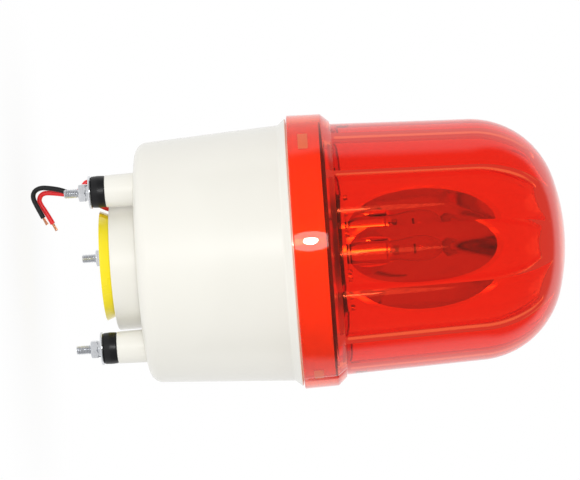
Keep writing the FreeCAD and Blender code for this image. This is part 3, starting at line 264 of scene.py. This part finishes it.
red_insulation = moulded("red_pvc", (0.80, 0.006, 0.010), (0.68, 0.004, 0.008), (0.42, 0.34),
                         (700, 0.08))
black_insulation = moulded("black_pvc", (0.008, 0.008, 0.009), (0.014, 0.014, 0.015), (0.42, 0.32),
                           (700, 0.08))
bare_copper = metal("bare_copper", (0.86, 0.45, 0.28), (0.70, 0.33, 0.19), (0.4, 0.28), 0.05)
for colour, route, length, material in (("red", RED_ROUTE, 56.4, red_insulation),
                                        ("black", BLACK_ROUTE, 52.0, black_insulation)):
    wire = route_curve(colour + "_wire", route, LEAD_R)
    wire.data.materials.append(material)
    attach(wire, "base")
    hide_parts(colour + "_lead")
    end_wires = strand_bundle(colour + "_wire_strands", route)
    end_wires.data.materials.append(bare_copper)
    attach(end_wires, "base")
    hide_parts("lead_strands")

# ---------------------------------------------------------------- meshes


def rounded(corners, steps=5):
    """A profile through (radius, height, round) corners; each round is an arc tangent to both sides."""
    corners = np.array(corners, float)
    points = [corners[:1, :2]]
    for before, (x, y, size), after in zip(corners, corners[1:], corners[2:]):
        here = np.array([x, y])
        back, on = before[:2] - here, after[:2] - here
        back, on = back / np.linalg.norm(back), on / np.linalg.norm(on)
        half = math.acos(max(-1.0, min(1.0, float(back @ on)))) / 2
        if size <= 0 or half > 1.56:
            points.append(here[None])
            continue
        cut = size / math.tan(half)
        middle = here + (back + on) / np.linalg.norm(back + on) * size / math.sin(half)
        first, last = here + back * cut - middle, here + on * cut - middle
        share = np.linspace(0, 1, steps + 1)[:, None]
        way = first * (1 - share) + last * share
        points.append(middle + way / np.linalg.norm(way, axis=1)[:, None] * size)
    points.append(corners[-1:, :2])
    return np.concatenate(points)


def polar_grid(radius, height, turn, at=(0.0, 0.0)):
    """Points at these radii, heights and angles round an upright axis, in metres."""
    radius, height, turn = np.broadcast_arrays(radius, height, turn)
    x = at[0] + radius * np.cos(turn)
    y = at[1] + radius * np.sin(turn)
    return np.stack([x, y, height], 2) * MM


def grid_faces(rows, columns, closed):
    """Quads over a grid whose columns run round; closed also joins the last row to the first."""
    i = np.arange(rows if closed else rows - 1)[:, None]
    j = np.arange(columns)[None]
    on, over = (i + 1) % rows, (j + 1) % columns
    return np.stack([i * columns + j, i * columns + over, on * columns + over, on * columns + j],
                    2).reshape(-1, 4)


def turned(profile, around=96, at=(0.0, 0.0), closed=True):
    """A turned form: its (radius, height) profile spun about an upright axis at a place."""
    turn = np.linspace(0, 2 * np.pi, around, endpoint=False)[None]
    grid = polar_grid(profile[:, :1], profile[:, 1:], turn, at)
    return grid, grid_faces(len(profile), around, closed)


def piece(name, parts, material, body, stands_for, smooth_deg=30.0):
    """One object from (points, faces) parts: welded, turned outwards, smooth but for its edges."""
    points, faces, offset = [], [], 0
    for grid, quads in parts:
        flat = np.asarray(grid, float).reshape(-1, 3)
        points.append(flat)
        faces += (np.asarray(quads) + offset).tolist()
        offset += len(flat)
    mesh = bpy.data.meshes.new(name)
    mesh.from_pydata(np.concatenate(points), [], faces)
    work = bmesh.new()
    work.from_mesh(mesh)
    bmesh.ops.remove_doubles(work, verts=work.verts, dist=1e-7)
    bmesh.ops.dissolve_degenerate(work, edges=work.edges, dist=1e-7)
    bmesh.ops.recalc_face_normals(work, faces=work.faces)
    work.to_mesh(mesh)
    work.free()
    mesh.shade_smooth()
    mesh.set_sharp_from_angle(angle=math.radians(smooth_deg))
    mesh.materials.append(material)
    made = bpy.data.objects.new(name, mesh)
    scene.collection.objects.link(made)
    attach(made, body)
    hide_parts(stands_for)
    return made


STUD_CIRCLE_R = 38.5
STUD_PLACES = [(STUD_CIRCLE_R * math.cos(math.radians(a)), STUD_CIRCLE_R * math.sin(math.radians(a)))
               for a in (90, 210, 330)]

# ---------------------------------------------------------------- housing
# One thick moulding in off-white plastic: a tapered cup with a flared shoulder and a rim for the dome,
# a short spigot below and three legs for the studs. The mould left it satin, with rounded edges.
cup = rounded([
    (12.02, 7.0, 0), (12.02, 6, 0.3), (28, 6, 0.8), (28, 18.4, 1.0), (51.4, 18.4, 5.2),
    (55.0, 80.1, 2.0), (57.9, 83.5, 0.4), (55.6, 83.5, 0.2), (55.6, 97.4, 0.4), (52.6, 97.4, 0.4),
    (52.6, 80.1, 2.0), (48.6, 21.4, 1.0), (25.7, 21.4, 0.4), (25.7, 8.5, 0.4), (12.02, 8.5, 0.2),
    (12.02, 7.0, 0)], 8)[:-1]
leg = rounded([(2.15, 7, 0), (2.15, 6, 0.3), (6.75, 6, 0.5), (7.1, 19.9, 0), (6.6, 19.9, 0),
               (6.6, 23.5, 0.3), (2.15, 23.5, 0.2), (2.15, 7, 0)])[:-1]
chassis_post = rounded([(1.3, 79, 0), (1.3, 91.5, 0.2), (3.9, 91.5, 0.3), (4.7, 20.4, 0), (0, 20.4, 0),
                        (0, 79, 0), (1.3, 79, 0)])[:-1]
board_post = rounded([(1.0, 32, 0), (1.0, 40, 0.2), (3.2, 40, 0.3), (3.2, 20.4, 0), (0, 20.4, 0),
                      (0, 32, 0), (1.0, 32, 0)])[:-1]
POST_ANGLES = [math.radians(a) for a in (30, 150, 270)]
housing_plastic = moulded("housing_plastic", (0.80, 0.785, 0.725), (0.76, 0.745, 0.68), (0.34, 0.30),
                          (1500, 0.03), coat=0.45)
parts = [turned(cup, 256)]
parts += [turned(leg, 64, at) for at in STUD_PLACES]
for post, circle in ((chassis_post, 46), (board_post, 30)):
    parts += [turned(post, 32, (circle * math.cos(a), circle * math.sin(a))) for a in POST_ANGLES]
piece("beacon_housing", parts, housing_plastic, "base", "housing")

# ---------------------------------------------------------------- dome
# A lens dome and its collar, moulded in one in clear red plastic. It is smooth outside and fluted
# inside, so that its wall is thick at twelve ridges and thin between; three lugs lock the collar.
COLUMNS = 288
CHAMFER_TOP = 102.3      # where the collar's chamfer meets the dome's wall
SPRING_Z = 160.0         # where the straight wall turns into the shoulder
FOOT_R, WALL_DRAFT = 54.0, 2.1
SHOULDER_AT, SHOULDER_R = 14.6, 37.3
CROWN_Z, CROWN_R = 112.493, 87.0
INNER_CROWN_R, FLUTES_END_R = 82.3, 26.5
RIDGE_WALL, FLUTE_WALL = 4.5, 2.0
LUG_ANGLES, LUG_HALF_DEG = (90, 210, 330), 5.0
NOTCH_DEG, NOTCH_HALF_DEG = 331, 0.98
turn = np.linspace(0, 2 * np.pi, COLUMNS, endpoint=False)[None]


def fluted_radius(z, angle):
    """Inside radius at a height and angle: between two ridges the wall is cut by one wide arc.

    The arc passes a ridge 15 degrees to each side and the flute's bottom between them; its centre
    lies out from the axis by (bottom^2 - ridge^2) / (2 (bottom - ridge cos 15))."""
    rise = np.maximum(z - SPRING_Z, 0.0)
    straight = FOOT_R - WALL_DRAFT * np.clip((z - CHAMFER_TOP) / (SPRING_Z - CHAMFER_TOP), -1, 1)
    ridge, bottom = [
        np.where(z > SPRING_Z,
                 SHOULDER_AT + np.sqrt(np.maximum((SHOULDER_R - wall) ** 2 - rise ** 2, 0)),
                 straight - wall) for wall in (RIDGE_WALL, FLUTE_WALL)]
    off = ((angle - math.radians(15.0)) % (np.pi / 6)) - np.pi / 12
    centre = (bottom ** 2 - ridge ** 2) / (2 * (bottom - ridge * math.cos(np.pi / 12)))
    reach = bottom - centre
    radius = centre * np.cos(off) + np.sqrt(np.maximum(reach ** 2 - (centre * np.sin(off)) ** 2, 0))
    crown = np.sqrt(np.maximum(INNER_CROWN_R ** 2 - (z - CROWN_Z) ** 2, 0))
    return np.minimum(radius, crown)


lean = math.atan2(SHOULDER_AT, SPRING_Z - CROWN_Z)
shoulder = np.linspace(0, math.pi / 2 - lean, 22)
crown_turn = np.linspace(lean, 0, 12)[1:]
outside = rounded([(56.0, 84.6, 0), (56.0, 84.0, 0.25), (58.85, 84.0, 0.5), (58.45, 98.5, 0.8),
                   (55.0, CHAMFER_TOP, 0.5), (FOOT_R, CHAMFER_TOP, 0.5), (51.9, SPRING_Z, 0)], 5)
outside = np.concatenate([
    outside,
    np.stack([SHOULDER_AT + SHOULDER_R * np.cos(shoulder), SPRING_Z + SHOULDER_R * np.sin(shoulder)],
             1)[1:],
    np.stack([CROWN_R * np.sin(crown_turn), CROWN_Z + CROWN_R * np.cos(crown_turn)], 1)])
inner_crown = np.linspace(0, math.asin(FLUTES_END_R / INNER_CROWN_R), 10)
inner_heights = np.concatenate([CROWN_Z + INNER_CROWN_R * np.cos(inner_crown),
                                SPRING_Z + 30.2 * np.sin(np.linspace(math.pi / 2, 0, 22)),
                                np.linspace(150, 98.9, 8)])
inner_radii = np.concatenate([
    np.broadcast_to(INNER_CROWN_R * np.sin(inner_crown)[:, None], (10, COLUMNS)),
    fluted_radius(inner_heights[10:, None], turn)])
outer_radii = np.broadcast_to(outside[:, :1], (len(outside), COLUMNS)).copy()
# A small key notch in the collar's face, then the bore with its three lugs.
notched = np.abs(turn[0] - math.radians(NOTCH_DEG)) < math.radians(NOTCH_HALF_DEG)
notch_rows = (outside[:, 1] > 95.1) & (outside[:, 1] < 100.8) & (outside[:, 0] > 56.5)
outer_radii[np.ix_(notch_rows, notched)] = 57.4
bore_heights = np.array([98.6, 98.6, 92.55, 92.5, 88.5, 88.45])
bore_radii = np.full((6, COLUMNS), 56.0)
bore_radii[0] = fluted_radius(np.array([98.6])[:, None], turn)[0]
lug_columns = np.zeros(COLUMNS, bool)
for lug in LUG_ANGLES:
    lug_columns |= np.abs((np.degrees(turn[0]) - lug + 180) % 360 - 180) < LUG_HALF_DEG
bore_radii[3:5, lug_columns] = 53.8
radii = np.concatenate([outer_radii, inner_radii, bore_radii])
heights = np.concatenate([outside[:, 1], inner_heights, bore_heights])[:, None]
dome_grid = polar_grid(radii, heights, turn)

red_lens = bpy.data.materials.new("clear_red_plastic")
red_lens.use_nodes = True
tree = red_lens.node_tree
glass = tree.nodes["Principled BSDF"]
glass.inputs["Base Color"].default_value = (0.94, 0.105, 0.035, 1)
glass.inputs["Transmission Weight"].default_value = 1.0
glass.inputs["Roughness"].default_value = 0.015
glass.inputs["IOR"].default_value = 1.49
ripple_place = tree.nodes.new("ShaderNodeTexCoord")
ripple_stretch = tree.nodes.new("ShaderNodeMapping")
ripple_stretch.inputs["Scale"].default_value = (60, 60, 9)
ripple = tree.nodes.new("ShaderNodeTexNoise")
ripple.inputs["Scale"].default_value = 1.0
ripple_bump = tree.nodes.new("ShaderNodeBump")
ripple_bump.inputs["Strength"].default_value = 0.05
ripple_bump.inputs["Distance"].default_value = 0.002
tree.links.new(ripple_place.outputs["Object"], ripple_stretch.inputs["Vector"])
tree.links.new(ripple_stretch.outputs["Vector"], ripple.inputs["Vector"])
tree.links.new(ripple.outputs["Fac"], ripple_bump.inputs["Height"])
tree.links.new(ripple_bump.outputs["Normal"], glass.inputs["Normal"])
light_path = tree.nodes.new("ShaderNodeLightPath")
let_through = tree.nodes.new("ShaderNodeBsdfTransparent")
let_through.inputs["Color"].default_value = (1.0, 0.74, 0.28, 1)
either = tree.nodes.new("ShaderNodeMixShader")
tree.links.new(light_path.outputs["Is Shadow Ray"], either.inputs[0])
tree.links.new(glass.outputs["BSDF"], either.inputs[1])
tree.links.new(let_through.outputs["BSDF"], either.inputs[2])
# Past four bounces the wall shows a painted, even red glow (an emission) in place of light caught inside
# it.
painted_glow_mask = tree.nodes.new("ShaderNodeMath")
painted_glow_mask.operation = "GREATER_THAN"
painted_glow_mask.inputs[1].default_value = 4.5
# painted glow: the red emission the lens shows on deep bounces, though it is no lamp
painted_red_glow = tree.nodes.new("ShaderNodeEmission")
painted_red_glow.inputs["Color"].default_value = (0.72, 0.09, 0.07, 1)
painted_glow_mix = tree.nodes.new("ShaderNodeMixShader")
tree.links.new(light_path.outputs["Ray Depth"], painted_glow_mask.inputs[0])
tree.links.new(painted_glow_mask.outputs[0], painted_glow_mix.inputs[0])
tree.links.new(either.outputs["Shader"], painted_glow_mix.inputs[1])
tree.links.new(painted_red_glow.outputs["Emission"], painted_glow_mix.inputs[2])
tree.links.new(painted_glow_mix.outputs["Shader"], tree.nodes["Material Output"].inputs["Surface"])
piece("red_dome", [(dome_grid, grid_faces(len(radii), COLUMNS, True))], red_lens, "dome",
      "dome_lens", 35)

# ---------------------------------------------------------------- studs, nuts, washers, bushes
# Three zinc-plated steel studs stand in the legs. On each are a rubber bush, a plain washer, a split
# spring washer and a hexagon nut, run on by hand, with bare thread past the nut.
zinc = metal("bright_zinc", (0.86, 0.87, 0.89), (0.52, 0.54, 0.57), (0.18, 0.10), 0.05)
PITCH = 0.7
THREAD_DEPTH = 0.4
STUD_LOW, STUD_HIGH, HEAD_TOP = -11.5, 23.5, 26.3
NUT_LOW, NUT_TOP, NUT_BORE = -5.3, -2.1, 2.02
ACROSS_FLATS = 7.0


def threaded_stud(at):
    """A rod whose radius follows a 60-degree thread: it falls and rises once for each pitch of height
    less one pitch for each turn, and its end is chamfered."""
    turn = np.linspace(0, 2 * np.pi, 28, endpoint=False)[None]
    height = np.concatenate([np.arange(STUD_LOW, 6.0, PITCH / 8), [20.0, STUD_HIGH]])[:, None]
    phase = ((height / PITCH - turn / (2 * np.pi)) % 1.0)
    depth = THREAD_DEPTH * (1 - np.abs(2 * phase - 1))
    worn = np.clip((depth - 0.05) / 0.30, 0, 1) * THREAD_DEPTH * np.where(height < 5.5, 1, 0)
    radius = np.minimum(2.0 - worn, 1.5 + (height - STUD_LOW))
    grid = polar_grid(radius, height, turn, at)
    low, high = [polar_grid(np.zeros((1, 1)), np.array([[z]]), turn, at) for z in (STUD_LOW, STUD_HIGH)]
    grid = np.concatenate([low, grid, high])
    return grid, grid_faces(len(grid), 28, False)


def hexagon_ring(low, high, across, bore, at):
    """A hexagon of one width across flats round a bore; its radius at each angle is half the width
    over the cosine of the angle from the nearest flat's middle, cut by a 30-degree cone at the ends."""
    turn = np.linspace(0, 2 * np.pi, 120, endpoint=False)[None]
    flat = across / 2
    hexagon = flat / np.cos((turn + np.pi / 6) % (np.pi / 3) - np.pi / 6)
    share = np.array([0, 0, 0.02, 0.05, 0.09, 0.14, 0.2, 0.8, 0.86, 0.91, 0.95, 0.98, 1, 1])[:, None]
    height = low + share * (high - low)
    from_end = np.minimum(height - low, high - height)
    cone = flat - 0.05 + from_end / math.tan(math.radians(30))
    radius = np.minimum(hexagon, cone)
    radius[0] = radius[-1] = bore + 0.35
    inner = np.full((4, 120), bore)
    inner_height = np.array([high - 0.3, high - 0.35, low + 0.35, low + 0.3])[:, None]
    grid = polar_grid(np.concatenate([radius, inner]), np.concatenate([height, inner_height]), turn, at)
    return grid, grid_faces(len(grid), 120, True)


plain_washer = rounded([(2.15, -0.5, 0), (2.15, -1.0, 0.1), (7.0, -1.0, 0.3), (7.0, 0.0, 0.15),
                        (2.15, 0.0, 0.05), (2.15, -0.5, 0)])[:-1]
bush = rounded([(2.15, 3, 0), (2.15, 0.02, 0.2), (6.55, 0.02, 0.7), (6.75, 3.0, 4.0), (6.6, 5.98, 0.5),
                (2.15, 5.98, 0.2), (2.15, 3, 0)])[:-1]
bush_rubber = moulded("black_rubber", (0.007, 0.007, 0.008), (0.012, 0.012, 0.013), (0.42, 0.3),
                      (500, 0.2))
for dull in (bush_rubber, black_insulation):
    dull.node_tree.nodes["Principled BSDF"].inputs["Specular IOR Level"].default_value = 0.22
piece("threaded_studs", [threaded_stud(at) for at in STUD_PLACES] + [
    hexagon_ring(STUD_HIGH, HEAD_TOP, ACROSS_FLATS, 0.0, at) for at in STUD_PLACES], zinc, "base",
      "mounting_studs", 40)
piece("stud_nuts", [hexagon_ring(NUT_LOW, NUT_TOP, ACROSS_FLATS, NUT_BORE, at) for at in STUD_PLACES],
      zinc, "base", "hex_nuts", 25)
piece("plain_washers", [turned(plain_washer, 72, at) for at in STUD_PLACES], zinc, "base",
      "flat_washers")
piece("stud_bushes", [turned(bush, 96, at) for at in STUD_PLACES], bush_rubber, "base",
      "rubber_bushes")

# ---------------------------------------------------------------- pieces kept from the CAD model
# Pieces that only show through the dome or from below keep their CAD form. Each gets the finish of the
# real thing: plated steel, drawn tin, nylon, laminate, blown glass, brass and a bright metallised bowl.


def clear_glass(name, tint, roughness=0.0):
    """Clear glass that lets shadow rays straight through."""
    material = bpy.data.materials.new(name)
    material.use_nodes = True
    tree = material.node_tree
    shader = tree.nodes["Principled BSDF"]
    shader.inputs["Base Color"].default_value = (*tint, 1)
    shader.inputs["Transmission Weight"].default_value = 1.0
    shader.inputs["Roughness"].default_value = roughness
    shader.inputs["IOR"].default_value = 1.5
    path = tree.nodes.new("ShaderNodeLightPath")
    through = tree.nodes.new("ShaderNodeBsdfTransparent")
    mix = tree.nodes.new("ShaderNodeMixShader")
    tree.links.new(path.outputs["Is Shadow Ray"], mix.inputs[0])
    tree.links.new(shader.outputs["BSDF"], mix.inputs[1])
    tree.links.new(through.outputs["BSDF"], mix.inputs[2])
    tree.links.new(mix.outputs["Shader"], tree.nodes["Material Output"].inputs["Surface"])
    return material


mirror = metal("metallised_mirror", (0.95, 0.94, 0.92), (0.90, 0.89, 0.87), (0.11, 0.08), 0.01)
black_moulding = moulded("black_nylon", (0.025, 0.025, 0.027), (0.04, 0.04, 0.043), (0.45, 0.35))
white_nylon = moulded("white_nylon", (0.80, 0.78, 0.72), (0.75, 0.73, 0.67), (0.4, 0.3))
grey_plastic = moulded("grey_plastic", (0.16, 0.16, 0.17), (0.13, 0.13, 0.14), (0.5, 0.4))
plated_steel = metal("plated_steel", (0.70, 0.71, 0.72), (0.58, 0.59, 0.60), (0.42, 0.3), 0.2)
bright_steel = metal("bright_steel", (0.72, 0.71, 0.70), (0.62, 0.61, 0.60), (0.28, 0.18), 0.15)
drawn_brass = metal("drawn_brass", (0.80, 0.62, 0.30), (0.70, 0.52, 0.24), (0.34, 0.22), 0.1)
nickel = metal("nickel_plate", (0.86, 0.82, 0.74), (0.76, 0.72, 0.64), (0.20, 0.15), 0.04)
tungsten = metal("tungsten", (0.35, 0.34, 0.33), (0.25, 0.24, 0.24), (0.5, 0.4), 0.1)
laminate = moulded("board_laminate", (0.10, 0.23, 0.10), (0.08, 0.19, 0.085), (0.35, 0.25), (1200, 0.05))
green_terminal = moulded("terminal_green", (0.05, 0.30, 0.16), (0.04, 0.25, 0.13), (0.45, 0.35))
black_parts = moulded("component_black", (0.02, 0.02, 0.02), (0.035, 0.035, 0.035), (0.45, 0.35))
yellow_plastic = moulded("yellow_plastic", (0.93, 0.78, 0.002), (0.90, 0.74, 0.002), (0.30, 0.26),
                         (1200, 0.03), coat=0.6)
sounder_black = moulded("sounder_black", (0.02, 0.02, 0.021), (0.035, 0.035, 0.037), (0.5, 0.4))
gasket_rubber = moulded("gasket_rubber", (0.03, 0.03, 0.03), (0.05, 0.05, 0.05), (0.6, 0.5), (500, 0.2))
plug_rubber = moulded("plug_rubber", (0.03, 0.03, 0.032), (0.05, 0.05, 0.052), (0.55, 0.45), (500, 0.2))
brown_bakelite = moulded("brown_bakelite", (0.16, 0.07, 0.03), (0.12, 0.05, 0.02), (0.35, 0.25))
bulb_clear = clear_glass("bulb_clear", (0.97, 0.97, 0.97))
for material, names in (
        (mirror, ["reflector"]), (black_moulding, ["turntable", "lamp_pillar"]),
        (white_nylon, ["drive_pinion"]), (grey_plastic, ["gearbox", "motor_end_cap"]),
        (plated_steel, ["chassis_plate", "turntable_clip", "motor_can"]),
        (bright_steel, ["gearbox_shaft", "contact_spring"]),
        (zinc, ["spring_washers", "chassis_screws", "gearbox_screws", "board_screws",
                "reflector_screws"]),
        (nickel, ["lamp_cap", "lamp_socket"]), (drawn_brass, ["contact_plunger", "lamp_contact",
                                                              "sounder_disc"]),
        (brown_bakelite, ["socket_insulator"]), (bulb_clear, ["bulb_glass", "filament_supports"]),
        (tungsten, ["filament"]), (laminate, ["circuit_board"]), (green_terminal, ["terminal_block"]),
        (black_parts, ["board_components"]), (yellow_plastic, ["sounder_cap"]),
        (sounder_black, ["sounder_nut", "sounder_capsule"]), (gasket_rubber, ["dome_gasket"]),
        (plug_rubber, ["sealing_plug"]), (black_insulation, ["lead_tails"])):
    for name in names:
        nodes[name].data.materials.clear()
        nodes[name].data.materials.append(material)

# ---------------------------------------------------------------- floor, light and background
# A pale round floor under the upright beacon, white towards its edge, and a plain soft studio.
FLOOR_Z = -32.0
floor_mesh = bpy.data.meshes.new("floor")
floor_turn = np.linspace(0, 2 * np.pi, 96, endpoint=False)[None]
floor_grid = polar_grid(np.array([0.0, 60.0, 120.0, 240.0, 450.0])[:, None], FLOOR_Z, floor_turn)
floor_mesh.from_pydata(floor_grid.reshape(-1, 3), [], grid_faces(5, 96, False).tolist())
floor = bpy.data.objects.new("floor", floor_mesh)
scene.collection.objects.link(floor)
floor_white = bpy.data.materials.new("floor_white")
floor_white.use_nodes = True
tree = floor_white.node_tree
matte = tree.nodes["Principled BSDF"]
matte.inputs["Base Color"].default_value = (0.86, 0.86, 0.86, 1)
matte.inputs["Roughness"].default_value = 0.9
glow = tree.nodes.new("ShaderNodeEmission")
glow.inputs["Color"].default_value = (1, 1, 1, 1)
place = tree.nodes.new("ShaderNodeTexCoord")
flat = tree.nodes.new("ShaderNodeVectorMath")
flat.operation = "MULTIPLY"
flat.inputs[1].default_value = (1, 1, 0)
reach = tree.nodes.new("ShaderNodeVectorMath")
reach.operation = "LENGTH"
fade = tree.nodes.new("ShaderNodeMapRange")
fade.interpolation_type = "SMOOTHSTEP"
fade.inputs["From Min"].default_value = 0.04
fade.inputs["From Max"].default_value = 0.15
fade.inputs["To Min"].default_value = 0.88
blend = tree.nodes.new("ShaderNodeMixShader")
tree.links.new(place.outputs["Object"], flat.inputs[0])
tree.links.new(flat.outputs[0], reach.inputs[0])
tree.links.new(reach.outputs["Value"], fade.inputs["Value"])
tree.links.new(fade.outputs["Result"], blend.inputs[0])
tree.links.new(matte.outputs["BSDF"], blend.inputs[1])
tree.links.new(glow.outputs["Emission"], blend.inputs[2])
# Seen from below, the floor is left out.
under = tree.nodes.new("ShaderNodeNewGeometry")
nothing = tree.nodes.new("ShaderNodeBsdfTransparent")
one_sided = tree.nodes.new("ShaderNodeMixShader")
tree.links.new(under.outputs["Backfacing"], one_sided.inputs[0])
tree.links.new(nothing.outputs["BSDF"], one_sided.inputs[1])
tree.links.new(blend.outputs["Shader"], one_sided.inputs[2])
tree.links.new(one_sided.outputs["Shader"], tree.nodes["Material Output"].inputs["Surface"])
floor_mesh.materials.append(floor_white)


def soft_light(name, place, size, power):
    """A round softbox that faces the middle of the beacon."""
    light = bpy.data.lights.new(name, "AREA")
    light.shape = "DISK"
    light.size = size
    light.energy = power
    made = bpy.data.objects.new(name, light)
    scene.collection.objects.link(made)
    toward = Vector((0, 0, 0.09)) - Vector(place)
    made.matrix_world = Matrix.Translation(place) @ toward.to_track_quat("-Z", "Y").to_matrix().to_4x4()
    return made


soft_light("flash", (-0.26, -1.07, 0.11), 0.10, 3.3)
soft_light("flash_hood", (-0.262, -1.08, 0.11), 0.30, 1.1)
soft_light("top", (0.15, 0.1, 1.3), 1.2, 5).visible_glossy = False

# The room is bright behind and round the beacon and dim in front of it, where the camera stands, so
# the dome mirrors white only along its sides. What is seen past it or through it is plain white.
world = bpy.data.worlds.new("studio")
scene.world = world
world.use_nodes = True
tree = world.node_tree
make, link = tree.nodes.new, tree.links.new
soft_room = tree.nodes["Background"]
soft_room.inputs["Color"].default_value = (1.0, 1.0, 1.0, 1)
soft_room.inputs["Strength"].default_value = 0.74
mirrored, white = make("ShaderNodeBackground"), make("ShaderNodeBackground")
mirrored.inputs["Color"].default_value = (1, 1, 1, 1)
white.inputs["Color"].default_value = (1, 1, 1, 1)
direction = make("ShaderNodeTexCoord")
split = make("ShaderNodeSeparateXYZ")
dim_in_front = make("ShaderNodeMapRange")
dim_in_front.interpolation_type = "SMOOTHSTEP"
dim_in_front.inputs["From Min"].default_value = 0.0
dim_in_front.inputs["From Max"].default_value = 0.22
dim_in_front.inputs["To Min"].default_value = 0.20
dim_in_front.inputs["To Max"].default_value = 1.0
lower_overhead = make("ShaderNodeMath")     # dimmer overhead too, so the crown stays clear
lower_overhead.operation = "MULTIPLY_ADD"
lower_overhead.inputs[1].default_value = -0.55
path = make("ShaderNodeLightPath")
clear = make("ShaderNodeMath")
clear.operation = "MAXIMUM"
for_mirror, for_view = make("ShaderNodeMixShader"), make("ShaderNodeMixShader")
link(direction.outputs["Generated"], split.inputs[0])
link(split.outputs["Z"], lower_overhead.inputs[0])
link(split.outputs["Y"], lower_overhead.inputs[2])
link(lower_overhead.outputs["Value"], dim_in_front.inputs["Value"])
link(dim_in_front.outputs["Result"], mirrored.inputs["Strength"])
link(path.outputs["Is Glossy Ray"], for_mirror.inputs[0])
link(soft_room.outputs["Background"], for_mirror.inputs[1])
link(mirrored.outputs["Background"], for_mirror.inputs[2])
link(path.outputs["Is Camera Ray"], clear.inputs[0])
link(path.outputs["Is Transmission Ray"], clear.inputs[1])
link(clear.outputs["Value"], for_view.inputs[0])
link(for_mirror.outputs["Shader"], for_view.inputs[1])
link(white.outputs["Background"], for_view.inputs[2])
link(for_view.outputs["Shader"], tree.nodes["World Output"].inputs["Surface"])
scene.view_settings.view_transform = "Standard"
